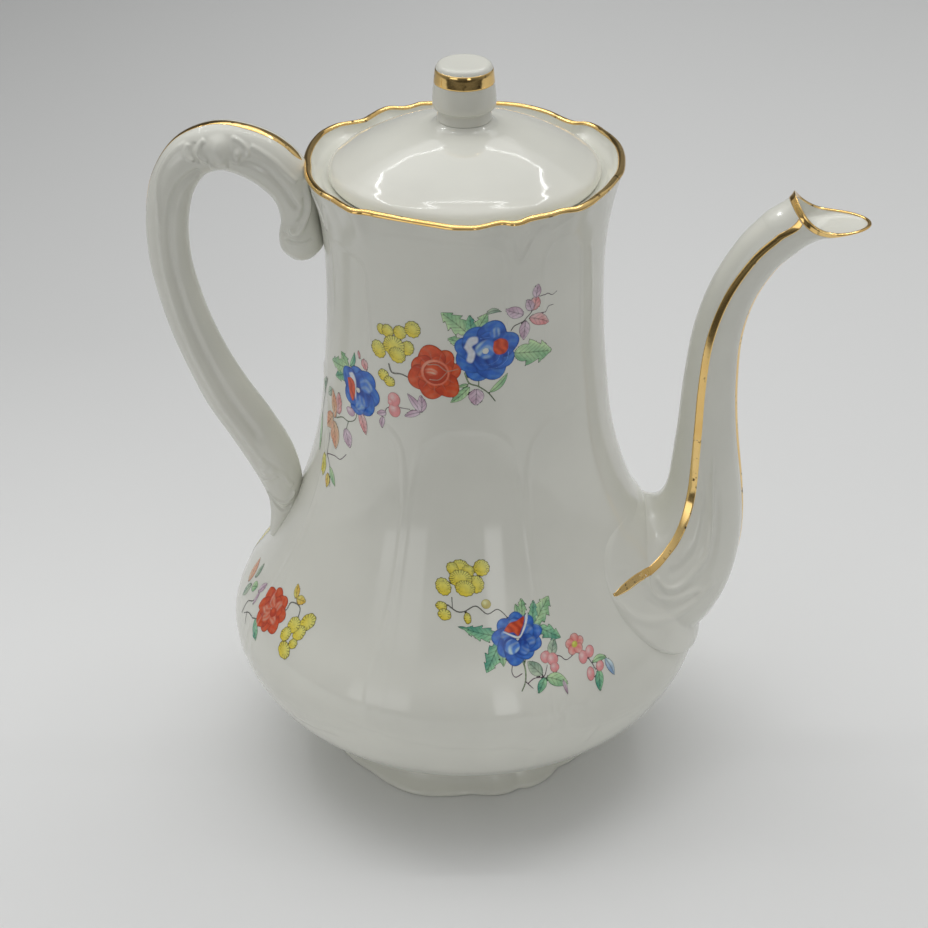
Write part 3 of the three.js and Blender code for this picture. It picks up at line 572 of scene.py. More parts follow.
outer_first = len(under_rings) + int(np.searchsorted(outer_heights, patch_rows[0] - 0.01))
inner_last = len(under_rings + outer_rings + lip_rings + slope_in + gallery) \
    + int(np.argmin(np.abs(inner_heights - patch_rows[0])))
outer_rows, patch_columns, outer_loop = patch_loop(outer_first, 1)
inner_rows, _, inner_loop = patch_loop(inner_last, -1)
cut = np.zeros(body_points.shape[:2], bool)
for rows in (outer_rows, inner_rows):
    cut[min(rows):max(rows), patch_columns[0]:patch_columns[-1]] = True
tube = np.stack([outer_loop, np.roll(outer_loop, -1), np.roll(inner_loop, -1), inner_loop], -1)
add_piece("glazed_body", body_points, "pot", ["pot_body", "pot_neck"],
          ends=np.array([[0, 0, under_height], [0, 0, floor_height]]), skip=cut[:-1].ravel(), more=tube)


# %% Foot
def foot_edge(azimuth):
    """Outer radius of the foot's lobes, the same again after half a turn."""
    stations = [-90, -69, -60, -49, -36, -24, -13, -5, 3, 9, 15, 20, 24.5, 29, 35, 43, 50, 57, 64, 77, 90]
    radii = [43.6, 44.2, 43.3, 42.3, 43.3, 43.9, 42.7, 41.4, 40.7, 41.7, 42.3, 42.0, 41.1, 42.1, 42.1, 41.0,
             39.8, 41.0, 42.1, 43.0, 43.6]
    return through(stations, radii, (azimuth + 90) % 180 - 90)


foot_reach = 43.5
foot_section = [(40.6, 16.7, 0), (39.8, 14, 0.15), (39.1, 11, 0.32), (38.9, 8.5, 0.45), (39.2, 6.4, 0.6),
                (40.2, 4.4, 0.8), (41.8, 2.9, 0.95), (43.0, 2.0, 1), (43.4, 1.4, 1), (foot_reach, 0.9, 1),
                (43.3, 0.35, 1), (42.8, 0.08, 1), (42.0, 0, 1), (38.0, 0, 0.5), (36.9, 0, 0),
                (36.3, 0.2, 0), (36.0, 0.7, 0), (35.4, 8, 0), (34.7, 16.7, 0)]
section = curve(foot_section, np.linspace(0, 1, 60))
lobing = foot_reach - foot_edge(azimuths)
foot_points = np.stack([on_axis(radius - share * lobing, max(height, 0), azimuths)
                        for radius, height, share in section])
add_piece("glazed_foot", foot_points, "pot", ["foot_ring"], loop=True)

# %% [markdown]
# ## The spout
# The spout is three runs that meet smoothly: a shell base that lies on the belly and rises into a fairing, a
# tube along an S-curve with a changing width, and a mouth that opens into a pear shape. One number counts
# through them, 0 to 1 for the base, 1 to 2 for the tube and 2 to 3 for the mouth, and the other is the turn
# round the section, 0 on the outer ridge.

# %% Spout surface
spout_reach, mouth_width, mouth_length = 125.6, 19.8, 24.4
spout_knots = np.array([[0.617, 0.478, 0.575], [0.6165, 0.562, 0.477], [0.6195, 0.641, 0.425],
                        [0.633, 0.722, 0.388], [0.668, 0.792, 0.374], [0.724, 0.85, 0.38],
                        [0.777, 0.883, 0.4]])
spout_knots = spout_knots * np.array([spout_reach, rim_height, mouth_width])


neck_turn, neck_height, neck_reach = np.radians(26), 68.2, 19


def from_x(radius, height, turn):
    """A point at a turn about the pot's axis that starts at +X."""
    radius, height, turn = np.broadcast_arrays(radius, height, turn)
    return np.stack([radius * np.cos(turn), radius * np.sin(turn), height], -1)


def tube_about(knots, t, turn, inset=0.0, narrow=1.0):
    """A tube along a line in the upright plane: across the line it reaches girth cos(turn), to the side
    narrow girth sin(turn). The knots are reach, height and girth, and inset makes the girth less."""
    t, turn = np.broadcast_arrays(np.asarray(t, float), turn)
    centre = curve(knots, t)
    step = 1e-4
    way = unit((curve(knots, np.clip(t + step, 0, 1)) - curve(knots, np.clip(t - step, 0, 1)))[..., :2])
    half = centre[..., 2] - inset
    across = half * np.cos(turn)
    return np.stack([centre[..., 0] + way[..., 1] * across, -half * narrow * np.sin(turn),
                     centre[..., 1] - way[..., 0] * across], -1)


def tube_point(t, turn, inset=0.0):
    """The spout's tube, round."""
    return tube_about(spout_knots, t, turn, inset)


def pad_point(turn, share, offset):
    """The shell base on the belly: from an egg-shaped outline (share 0) to the neck oval (share 1)."""
    base_turn = np.radians(43.8)
    swing = (base_turn + (neck_turn - base_turn) * share) * np.sin(turn)
    bulge = np.sin(turn) ** 2
    outline = hole_height + 9.3 * bulge - (24 + 10 * bulge) * np.cos(turn)
    height = outline + (neck_height - neck_reach * np.cos(turn) - outline) * share
    return from_x(body_radius(height) + offset, height, -swing)


def oval_point(turn, size, offset):
    """The oval that the base's fairing rises from, on the belly, at a share of its size."""
    height = neck_height - neck_reach * size * np.cos(turn)
    return from_x(body_radius(height) + offset, height, -neck_turn * size * np.sin(turn))


def run_between(start, leave, end, arrive, t):
    """Cubic Hermite between two points with given directions."""
    t = t[..., None]
    return (start * (2 * t**3 - 3 * t**2 + 1) + leave * (t**3 - 2 * t**2 + t)
            + end * (3 * t**2 - 2 * t**3) + arrive * (t**3 - t**2))


def mouth_point(turn, inset=0.0):
    """The mouth's edge: a pear, level at the lip and turned up at its back."""
    half = mouth_length / 2 - inset
    square = np.where(np.cos(turn) > 0, np.cos(turn), -np.abs(np.cos(turn)) ** 0.62)
    across = mouth_length / 2 + half * square
    back = np.maximum(1 - across / mouth_length, 0)
    side = (mouth_width / 2 - inset) * np.sin(turn) * (1.02 - 0.12 * np.cos(turn))
    return np.stack([spout_reach - mouth_length + across, -side, 186.8 + 10.2 * back ** 5], -1)


def spout_smooth(s, turn, inset=0.0, wall=0.0):
    """The spout's outside (inset 0) or its bore, without mouldings, at s from 0 to 3."""
    s, turn = np.broadcast_arrays(np.asarray(s, float), turn)
    pad = 0.32
    if inset:
        start, along = oval_point(turn, 0.74, -1.6), np.clip(s, 0, 1)
    else:
        start, along = pad_point(turn, np.ones_like(turn), 0.9), np.clip((s - pad) / (1 - pad), 0, 1)
    end = tube_point(np.zeros_like(s), turn, inset)
    pull = np.linalg.norm(end - start, axis=-1, keepdims=True)
    inward = unit(oval_point(turn, 0.9, 0) - oval_point(turn, 1.0, 0))
    outward = from_x(np.ones_like(turn), np.zeros_like(turn), -neck_turn * np.sin(turn))
    leave = unit(inward + outward * (0.55 * (1 + np.cos(turn) ** 2))[..., None]) * pull
    run_in = unit(tube_point(0.02 + 0 * s, turn, inset) - tube_point(0 * s, turn, inset))
    base = run_between(start, leave, end, run_in * pull * 1.35, along)
    if not inset:
        edge = np.sin(np.pi / 2 * np.clip(s / 0.045, 0, 1))
        above = soft_step(0.4, 0.9, -np.cos(turn))
        offset = -0.8 + 2.0 * edge - 0.3 * soft_step(0.05, 0.3, s) - 1.2 * above * soft_step(0.3, 0.1, s)
        base = np.where((s < pad)[..., None], pad_point(turn, np.clip(s / pad, 0, 1), offset), base)
    tube = tube_point(np.clip(s - 1, 0, 1), turn, inset)
    start = tube_point(np.ones_like(s), turn, inset)
    end = mouth_point(turn, wall)
    pull = np.linalg.norm(end - start, axis=-1, keepdims=True)
    out = (1 + np.cos(turn)) / 2
    arrive = np.stack([0.35 + 0.65 * out, -0.25 * np.sin(turn), 0.9 - 0.75 * out], -1) * pull
    run_out = unit(tube_point(1 + 0 * s, turn, inset) - tube_point(0.98 + 0 * s, turn, inset))
    mouth = run_between(start, run_out * pull, end, arrive, np.clip(s - 2, 0, 1))
    return np.where((s < 1)[..., None], base, np.where((s < 2)[..., None], tube, mouth))


def normal_of(shape, s, turn, step=2e-3):
    """The direction straight out of a shape of two numbers, from the cross of its two slopes."""
    along = shape(np.minimum(s + step, 2.9999), turn) - shape(np.maximum(s - step, 0), turn)
    round_it = shape(s, turn + step) - shape(s, turn - step)
    return unit(np.cross(along, round_it))


def strokes_on(strokes, along, side, scale, ends):
    """Mouldings of a curved tube: ridges and hollows along paths of (way along, degrees of turn), with scale
    mm for one of each. A path of four knots or more fades out towards both ends."""
    rise = np.zeros(along.shape)
    for path, half, high in strokes:
        knots = curve(path, np.linspace(0, 1, 21)) * np.array(scale)
        distance, share = from_path(along * scale[0], np.degrees(side) * scale[1], knots)
        fade = 1 if len(path) < 4 else soft_step(0, ends[0], share) * soft_step(1, ends[1], share)
        rise = rise + high * fade * ridge(distance, half)
    return rise


# %% Spout mouldings
spout_strokes = [
    ([(1.12, 82), (1.0, 82.5), (0.8, 79.5), (0.7, 79.5), (0.6, 86), (0.5, 90), (0.41, 96), (0.375, 104),
      (0.365, 113)], 1.6, 0.95),
    ([(0.305, 114), (0.28, 103), (0.31, 94.5), (0.39, 87), (0.5, 77), (0.54, 68)], 1.3, 0.55),
    ([(0.03, 88.5), (0.066, 80), (0.16, 75), (0.31, 73), (0.44, 70), (0.53, 65), (0.6, 58)], 1.9, 0.6),
    ([(0.25, 107), (0.255, 108)], 1.6, 0.5),
    ([(0.06, 106), (0.11, 108), (0.165, 110)], 1.0, 0.25),
    ([(1.1, 94), (0.8, 92), (0.7, 93), (0.62, 98), (0.54, 103), (0.46, 109)], 2.4, -0.5),
    ([(0.44, 87), (0.52, 82), (0.6, 75), (0.72, 70), (1.0, 72)], 2.2, -0.35),
    ([(0.22, 92), (0.3, 84), (0.4, 78.5), (0.5, 70)], 1.8, -0.25),
]


def spout_relief(s, turn):
    """Mouldings: a low rib along the outer ridge that carries the gold line, and on both sides of the base
    the strokes of the shell, rounded ridges and hollows along paths of (s, degrees of turn)."""
    wrapped = (turn + np.pi) % (2 * np.pi) - np.pi
    girth = curve(spout_knots, np.clip(s - 1, 0, 1))[..., 2]
    rise = 0.5 * ridge(wrapped * girth, 2.4) * soft_step(0.35, 0.9, s) * soft_step(2.9, 2.4, s)
    base = s < 1.3
    rise[base] += strokes_on(spout_strokes, s[base], np.abs(wrapped[base]), (60, 0.33), (0.1, 0.92))
    return rise


def spout_skin(s, turn):
    """The spout's outside with its mouldings."""
    s, turn = np.broadcast_arrays(np.asarray(s, float), turn)
    smooth = spout_smooth(s, turn)
    return smooth + normal_of(spout_smooth, s, turn) * spout_relief(s, turn)[..., None]


spout_columns = 192
spout_turns = np.arange(spout_columns) * 2 * np.pi / spout_columns
outer_s = np.concatenate([
    np.linspace(0, 0.05, 8)[:-1], np.linspace(0.05, 0.32, 24)[:-1], np.linspace(0.32, 1, 60)[:-1],
    np.linspace(1, 2, 110)[:-1], np.linspace(2, 2.97, 34)])
s_grid, turn_grid = np.meshgrid(outer_s, spout_turns, indexing="ij")
outer = spout_skin(s_grid, turn_grid)


def mouth_lip(across, lift=0.0):
    """The rounded lip: across runs from 0 outside to 1 inside, and its crown rises 0.45 mm."""
    outside, inside = mouth_point(spout_turns, 0.05), mouth_point(spout_turns, 1.2)
    mixed = outside * (1 - across) + inside * across
    side = unit(outside - inside)
    crown = np.array([0, 0, 0.45]) * np.sqrt(max(4 * across * (1 - across), 0))
    return mixed + crown + np.array([0, 0, lift]) + side * lift * (1 - 2 * across)


lip_shares = (0, 0.08, 0.25, 0.5, 0.75, 0.92, 1)
lip = np.stack([mouth_lip(share) for share in lip_shares])
inner_s = np.concatenate([np.linspace(2.94, 2, 16), np.linspace(1.95, 1, 30), np.linspace(0.95, 0, 20)])
s_grid, turn_grid = np.meshgrid(inner_s, spout_turns, indexing="ij")
spout_wall, mouth_wall = 2.6, 1.25
bore = spout_smooth(s_grid, turn_grid, inset=spout_wall, wall=mouth_wall)
add_piece("glazed_spout", np.concatenate([outer, lip, bore]), "pot", ["spout"], loop=True)

# %% [markdown]
# ## The handle
# The handle is a tube along a scroll that starts in a curl beside the neck and runs out in a leaf on the
# shoulder. Its section isn't round: grooves run along its sides between an outer roll, a fine rib and an
# inner roll.

# %% Handle surface
handle_reach, handle_top, handle_girth = 98.4, 221.2, 9.75
handle_knots = np.array([
    [0.512, 0.802, 0.46], [0.513, 0.814, 0.67], [0.514, 0.831, 0.71], [0.517, 0.859, 0.61],
    [0.527, 0.892, 0.7], [0.557, 0.92, 0.8], [0.613, 0.945, 0.85], [0.694, 0.962, 0.82],
    [0.772, 0.9655, 0.79], [0.852, 0.949, 0.75], [0.909, 0.909, 0.71], [0.932, 0.856, 0.68],
    [0.931, 0.806, 0.67], [0.919, 0.768, 0.67], [0.882, 0.703, 0.69], [0.83, 0.641, 0.72],
    [0.769, 0.584, 0.78], [0.698, 0.532, 0.8], [0.634, 0.478, 0.78], [0.602, 0.43, 0.64],
    [0.606, 0.388, 0.42], [0.636, 0.345, 0.2]]) * np.array([-handle_reach, handle_top, handle_girth])


def handle_smooth(t, turn):
    """The handle without mouldings, a tube a little narrower than deep."""
    return tube_about(handle_knots, t, turn, narrow=0.96)


handle_strokes = [
    ([(0.371, 82), (0.369, 90), (0.367, 96)], 5.0, 1.7),
    ([(0.395, 120), (0.38, 132), (0.362, 132), (0.35, 120)], 1.4, 0.5),
    ([(0.336, 84), (0.335, 87)], 1.9, 0.7),
    ([(0.352, 50), (0.338, 55), (0.322, 68), (0.322, 88), (0.334, 104), (0.346, 100)], 1.0, 0.45),
    ([(0.388, 52), (0.398, 62), (0.405, 80), (0.402, 97), (0.394, 106)], 1.1, 0.7),
    ([(0.41, 48), (0.419, 60), (0.421, 76), (0.416, 90)], 1.0, 0.55),
    ([(0.402, 50), (0.411, 66), (0.413, 82), (0.409, 98)], 0.9, -0.5),
    ([(0.41, 44), (0.43, 40), (0.448, 40), (0.469, 45), (0.49, 60), (0.523, 74), (0.6, 76), (0.7, 74),
      (0.8, 74), (0.848, 76)], 1.5, 0.5),
    ([(0.418, 124), (0.43, 118), (0.461, 106), (0.488, 101), (0.519, 100), (0.6, 101), (0.7, 101),
      (0.78, 101), (0.83, 102)], 2.1, -0.95),
    ([(0.322, 58), (0.3, 62), (0.275, 66), (0.25, 68), (0.228, 62)], 1.1, 0.45),
    ([(0.332, 100), (0.316, 93), (0.294, 92), (0.247, 97), (0.2, 98), (0.171, 86)], 1.9, -0.9),
    ([(0.222, 36), (0.209, 48), (0.172, 55), (0.138, 76), (0.117, 98), (0.122, 112), (0.135, 115)], 1.5,
     0.95),
    ([(0.19, 62), (0.16, 74), (0.148, 90)], 1.5, -0.55),
    ([(0.112, 138), (0.113, 140)], 2.0, -0.7),
    ([(0.102, 60), (0.096, 90), (0.1, 125)], 1.3, -0.5),
    ([(0.853, 72), (0.854, 75)], 1.3, 0.6),
    ([(0.864, 68), (0.865, 84)], 2.2, 0.7),
    ([(0.876, 46), (0.8765, 66), (0.874, 90)], 0.9, 0.4),
    ([(0.84, 74), (0.863, 92), (0.874, 108), (0.885, 113), (0.897, 124)], 1.2, 0.6),
    ([(0.902, 34), (0.91, 46), (0.921, 69), (0.925, 94), (0.918, 111), (0.905, 130)], 1.1, 0.6),
    ([(0.914, 30), (0.927, 48), (0.938, 72), (0.94, 96), (0.931, 118)], 1.4, -0.7),
    ([(0.93, 28), (0.95, 24), (0.97, 22), (0.99, 20)], 0.9, 0.3),
]


def handle_relief(t, turn):
    """Both sides alike: strokes along paths of (t, degrees from the outer ridge). A knuckle boss with curls
    tops the scroll, a rib and a groove run down the arms, a hook closes the bulb, and a leaf ends it."""
    side = np.abs((turn + np.pi) % (2 * np.pi) - np.pi)
    return strokes_on(handle_strokes, t, side, (200, 0.119), (0.08, 0.94))


def handle_skin(t, turn):
    """The handle with its mouldings."""
    t, turn = np.broadcast_arrays(np.asarray(t, float), turn)
    out = normal_of(handle_smooth, t, turn, 1e-3)
    return handle_smooth(t, turn) + out * handle_relief(t, turn)[..., None]


handle_columns = 120
handle_turns = np.arange(handle_columns) * 2 * np.pi / handle_columns
t_grid, turn_grid = np.meshgrid(np.linspace(0, 1, 640), handle_turns, indexing="ij")
handle_points = handle_skin(t_grid, turn_grid)
first, last = curve(handle_knots, 0.0), curve(handle_knots, 1.0)
middle = np.array([first[0], 0, first[1]])
# A quarter of a squashed ball closes the curl's lower end.
cap = [middle + (handle_points[0] - middle) * np.cos(a) * 1.414 + np.array([0, 0, 4.5 - 6.36 * np.sin(a)])
       for a in np.radians(np.arange(85, 46, -6))]
add_piece("glazed_handle", np.concatenate([cap, handle_points]), "pot", ["handle"],
          ends=np.array([middle + [0, 0, -1.86], [last[0], 0, last[1]]]))

# %% [markdown]
# ## Lid and knob
# Both are turned, so each is a profile of radius and height carried round the axis. The lid is a low dome
# with a rounded edge and a flange below that keeps it in place. The knob is a slightly tapered barrel.


# %% Lid and knob surfaces
total_height, lid_foot, lid_crown, knob_foot = 240, 216.2, 222, 222.05


def turned(profile, segments, samples):
    """A profile of (radius, height) knots, run through smoothly and carried round the axis."""
    points = curve(profile, np.linspace(0, 1, samples)) if samples else np.asarray(profile, float)
    around = np.arange(segments) * 360 / segments
    return np.stack([on_axis(radius, min(height, total_height), around) for radius, height in points])


lid_under = [(3, lid_foot), (11, 215.5), (15.4, 213.9), (22, 210.4), (30, 207.2), (33.5, 205.5),
             (35.7, 203.9), (35.7, 196), (35.7, 191.2), (36.1, 190.9), (37.6, 190.9), (38.3, 191.3),
             (38.7, 192), (38.7, 200), (38.7, 203.7), (38.9, 203.9), (40.6, 203.9)]
lid_top = [(40.9, 203.95), (41.4, 204.4), (41.7, 205.2), (41.6, 206.2), (41.2, 207.2), (40.2, 208.3),
           (38.2, 209.57), (35.9, 210.93), (30.0, 214.05), (22.1, 217.35), (15.4, 219.35), (12.4, 220.0),
           (10.4, 220.55), (9.3, 221.2), (8.6, 221.65), (8.2, 221.95), (7, lid_crown), (3, lid_crown)]
lid_points = np.concatenate([turned(lid_under, 288, 0), turned(lid_top, 288, 90)])
add_piece("glazed_lid", lid_points, "lid", ["lid"],
          ends=np.array([[0, 0, lid_foot], [0, 0, lid_crown]]))

knob_side = [(9.75, 228.6), (9.62, 231), (9.3, 233.4), (9.05, 236), (8.8, 237.9), (8.5, 238.9)]
knob_profile = [(3, knob_foot), (7.4, knob_foot), (8.3, 222.2), (8.25, 223.5), (8.05, 224.8), (8.1, 225.5),
                (8.9, 225.8), (9.5, 226.3), (9.72, 227.2), *knob_side, (7.9, 239.6), (7.0, 239.93),
                (5, total_height), (2, total_height)]
knob_segments = 144
add_piece("glazed_knob", turned(knob_profile, knob_segments, 110), "lid", ["lid_knob"],
          ends=np.array([[0, 0, knob_foot], [0, 0, total_height]]))

# %% [markdown]
# ## Gilding
# Liquid gold is brushed on the glaze and fired, a film far thinner than a hair. Each band here is a thin
# closed ribbon laid on the surface that carries it: its points are taken from that surface's own formula and
# lifted a few hundredths of a millimetre, so the gold follows every lobe and rib.


# %% Ribbon tool
gold_lift, gold_sink = 0.06, 0.12


def ribbon(top, out):
    """A closed thin strip: the top rows lifted a little, joined to the same rows sunk into the glaze."""
    upper, lower = top + out * gold_lift, top - out * gold_sink
    return np.concatenate([upper, lower[:, ::-1]], axis=1)


def along_spout(name, cad_node, s_values, centre_turn, half_width, columns=9):
    """A gold line on the spout: at each s, turns from one edge to the other of a strip of that width."""
    across = np.linspace(-1, 1, columns)
    mid = centre_turn(s_values)
    here, beside = spout_smooth(s_values, mid), spout_smooth(s_values, mid + 0.02)
    per_turn = np.linalg.norm(beside - here, axis=-1) / 0.02
    spread = half_width(s_values) / per_turn
    turn = mid[:, None] + across[None, :] * spread[:, None]
    s = np.broadcast_to(s_values[:, None], turn.shape)
    points = ribbon(spout_skin(s, turn), normal_of(spout_smooth, s, turn))
    add_piece(name, points, "pot", [cad_node], ends=points[[0, -1]].mean(axis=1))


def side_turn(s):
    """Turn from the outer ridge at which the side lines run."""
    stations = [0.02, 0.14, 0.22, 0.31, 0.42, 0.53, 0.65, 0.8, 1.0, 1.2, 1.45, 1.6, 1.75, 1.95, 2.2, 2.6,
                2.8]
    degrees = [90.5, 100, 107.5, 116, 122, 124.5, 122.8, 119.3, 115, 112.5, 112.3, 109.8, 107, 105.8, 108,
               122, 130]
    return np.radians(through(stations, degrees, s))


def side_half(s):
    """Half the width of the side lines."""
    widths = [0.3, 1.2, 2.2, 2.9, 3.0, 2.6, 2.2, 2.1, 2.2]
    return 0.5 * through([0, 0.03, 0.07, 0.3, 0.8, 1.25, 1.8, 2.3, 2.8], widths, s)


line_s = np.concatenate([np.linspace(0.022, 1, 150)[:-1], np.linspace(1, 2.8, 170)])
along_spout("gold_line_near", "spout_line_near", line_s, side_turn, side_half)
along_spout("gold_line_far", "spout_line_far", line_s, lambda s: -side_turn(s), side_half)


def ridge_half(s):
    """Half the width of the line on the outer ridge, a pointed oval: 2.5 sqrt(sin) along its length."""
    return 2.5 * np.clip(np.sin(np.pi * np.clip((s - 0.62) / 1.9, 0, 1)), 0.01, 1) ** 0.5


along_spout("gold_line_ridge", "spout_line_ridge", np.linspace(0.63, 2.5, 220), np.zeros_like, ridge_half,
            columns=15)

# %% Gold on the handle, the rim, the mouth and the knob
handle_line_t = np.linspace(0.247, 0.87, 260)
half = through([0.247, 0.255, 0.28, 0.3, 0.34, 0.37, 0.42, 0.6, 0.8, 0.87],
               [0.25, 1.2, 1.55, 1.6, 1.5, 1.25, 1.1, 1.0, 1.0, 0.1], handle_line_t)
lean_stations = [0.247, 0.28, 0.3, 0.34, 0.37, 0.42, 0.5, 0.87]
lean = np.radians(through(lean_stations, [13, 13, 11.5, 9.5, 6, 0, -10, -10], handle_line_t))
girth = curve(handle_knots, handle_line_t)[:, 2]
turn = lean[:, None] + np.linspace(-1, 1, 13)[None, :] * (half / girth)[:, None]
t_grid = np.broadcast_to(handle_line_t[:, None], turn.shape)
top = handle_skin(t_grid, turn)
line_centre = curve(handle_knots, t_grid)
out = unit(top - np.stack([line_centre[..., 0], np.zeros_like(turn), line_centre[..., 1]], -1))
points = ribbon(top, out)
add_piece("gold_handle_line", points, "pot", ["handle_line"], ends=points[[0, -1]].mean(axis=1))

rim_wave = 5 * np.sin(np.radians(azimuths) * 5 + 1) + 4 * np.sin(np.radians(azimuths) * 13)
rim_turns = [np.radians(8 + rim_wave * (1 - share) + 150 * share) for share in np.linspace(0, 1, 15)]


def rim_shell(lift):
    """The lip's round from outside to inside, lifted off the glaze."""
    return np.stack([lip_ring(lip_half - (lip_half + lift) * np.cos(a), (lip_round + lift) * np.sin(a))
                     for a in rim_turns])


add_piece("gold_rim", np.concatenate([rim_shell(gold_lift), rim_shell(-gold_sink)[::-1]]), "pot",
          ["rim_gilding"], loop=True)

low_edge = 2.94 - 0.075 * (1 - np.cos(spout_turns)) + 0.006 * np.sin(3 * spout_turns)
s_grid = np.stack([low_edge + (2.985 - low_edge) * share for share in np.linspace(0, 1, 6)])
turn_grid = np.broadcast_to(spout_turns, s_grid.shape)
skirt, skirt_out = spout_smooth(s_grid, turn_grid), normal_of(spout_smooth, s_grid, turn_grid)
over_lip, under_lip = (np.stack([mouth_lip(share, lift) for share in lip_shares]) for lift in (0.07, -0.1))
upper = np.concatenate([skirt + skirt_out * gold_lift, over_lip])
lower = np.concatenate([skirt - skirt_out * 0.1, under_lip])
add_piece("gold_mouth", np.concatenate([upper, lower[::-1]]), "pot", ["spout_mouth_gilding"],
          loop=True)


def knob_ring(height, lift):
    """A ring on the knob's side, lifted off the glaze."""
    radii, heights = zip(*knob_side)
    around = np.arange(knob_segments) * 360 / knob_segments
    return on_axis(through(heights, radii, height) + lift, height, around)


band_heights = np.linspace(234.1, 238.4, 12)
upper = [knob_ring(height, 0.05) for height in band_heights]
lower = [knob_ring(height, -0.1) for height in band_heights[::-1]]
add_piece("gold_knob_band", np.stack(upper + lower), "lid", ["knob_band"], loop=True)

# %% [markdown]
# ## Flower sprays
# Such sprays are transfers: enamel printed on a flat sheet, floated off, laid on the glaze and fired. They
# are drawn the same way here. Each sheet is a flat grid in millimetres. Strokes are laid on it one after the
# other with plain formulas, and each stroke gives for all points at once how far they lie inside it. Then the
# sheet is wrapped on the pot: across it the mm become turns about the axis, and up it they follow the wall.
# Points without paint are dropped, and those beside an edge move onto it, so that outlines stay clean.


# %% Brushes
def blend(low, high, share):
    """low to high by a share per point, for colours."""
    return np.asarray(low) + (np.asarray(high) - np.asarray(low)) * np.asarray(share)[..., None]


def lay(sheet, inside, colour, soft=0.14, body=1.0):
    """Lays a stroke on the sheet. inside is the distance in mm inside its edge, positive within. A stroke
    with less body is a thin wash over the paint that is there, and makes no new paint."""
    cover = (np.clip(inside / soft + 0.5, 0, 1) * body)[..., None]
    sheet["colour"] = sheet["colour"] * (1 - cover) + colour * cover
    if body == 1:
        sheet["inside"] = np.maximum(sheet["inside"], inside)


def local(sheet, start, end):
    """Coordinates of all points along and across a line: share along it, mm to its left, and its length."""
    start, end = np.asarray(start, float), np.asarray(end, float)
    length = np.hypot(*(end - start))
    way = (end - start) / length
    x, y = sheet["u"] - start[0], sheet["v"] - start[1]
    return (x * way[0] + y * way[1]) / length, y * way[0] - x * way[1], length


def about(sheet, centre, tilt):
    """Coordinates of all points about a centre, turned by tilt degrees."""
    turn = np.radians(tilt)
    x, y = sheet["u"] - centre[0], sheet["v"] - centre[1]
    return x * np.cos(turn) + y * np.sin(turn), y * np.cos(turn) - x * np.sin(turn)


def outline(inside, width):
    """How far a point belongs to the edge: exp(-(depth / width)^2)."""
    return np.exp(-(np.maximum(inside, 0) / width) ** 2)


def brush_line(sheet, path, colour, width=0.32, body=1.0):
    """A stem: a smooth curve through the path, whose width tapers to a share of itself at the far end. It has
    an inked edge, and a broad stem is pale inside."""
    taper = 0.6
    knots = curve(path, np.linspace(0, 1, 6 * len(path)))
    best = np.full(sheet["u"].shape, -9.0)
    for place, (start, end) in enumerate(zip(knots[:-1], knots[1:])):
        distance, share = from_straight(sheet["u"], sheet["v"], start, end)
        along = (place + share) / (len(knots) - 1)
        best = np.maximum(best, width / 2 * (1 + (taper - 1) * along) - distance)
    pale = np.asarray(colour) * 1.7 + 0.05
    lay(sheet, best, blend(np.asarray(colour) * 0.55, pale, np.clip((best - 0.11) / 0.1, 0, 1)), body=body)


def brush_leaf(sheet, base, tip, half, colours, teeth=0, bend=0.0):
    """A leaf: across its midrib it reaches half * sin(pi s^0.85)^0.8 mm, s being the share along it. Teeth
    cut the edge by a saw of s. It is darker on one side, at its edge and along midrib and side veins."""
    s, across, length = local(sheet, base, tip)
    across = across - bend * length * (s - s * s)
    inside_s = np.clip(s, 1e-4, 1)
    reach = half * np.sin(np.pi * inside_s ** 0.85) ** 0.8
    if teeth:
        reach = reach * (1.1 - 0.45 * ((inside_s * teeth) % 1) * np.sin(np.pi * inside_s) ** 0.5)
    beyond = np.hypot(across, length * np.maximum(-s, s - 1))
    inside = np.where((s > 0) & (s < 1), reach - np.abs(across), -beyond)
    dark, light = (np.asarray(c) for c in colours)
    tone = np.clip(0.5 + 0.6 * across / max(half, 0.1) + 0.25 * np.sin(7 * s + across), 0, 1)
    colour = blend(dark, light, tone)
    rib = np.exp(-(across / 0.13) ** 2) * (s < 0.92)
    side = np.abs(((s * length - np.abs(across) * 1.1) / 1.6) % 1 - 0.5)
    side = np.exp(-((side - 0.5) / 0.085) ** 2) * (np.abs(across) < reach * 0.8) * (half > 1.3)
    ink = np.clip(0.75 * (rib + 0.7 * side) + 0.7 * outline(inside, 0.13), 0, 1)
    lay(sheet, inside, blend(colour, dark * 0.22, ink))


def brush_petal(sheet, centre, reach, half, turn_deg, colours, start=0.1, streaks=0.25, edge=0.5, waves=3,
                body=1.0):
    """A petal: an ellipse that lies outwards from a flower's centre, with a waved far edge. Deep colour at
    its root runs to a lighter one, with fine streaks along it and a darker outline."""
    along, across = about(sheet, centre, turn_deg)
    along = along - reach * (1 + start) / 2
    long = reach * (1 - start) / 2
    angle = np.arctan2(across / half, along / long)
    size = 1 + 0.07 * np.cos(waves * angle) * (np.cos(angle) > 0)
    radius = np.hypot(across / half, along / long) / size
    inside = (1 - radius) * min(half, long)
    deep, light, ink = (np.asarray(c) for c in colours)
    out = np.clip(along / long * 0.5 + 0.5, 0, 1)
    grain = 0.5 + 0.5 * np.sin(across / half * 6 + 3 * np.sin(along * 0.8 + turn_deg))
    colour = blend(deep, light, np.clip(out ** 1.6 * 0.75 + streaks * (grain - 0.5), 0, 1))
    colour = blend(colour, ink, edge * outline(inside, 0.22))
    lay(sheet, inside, colour, soft=0.14 if body == 1 else 0.7, body=body)


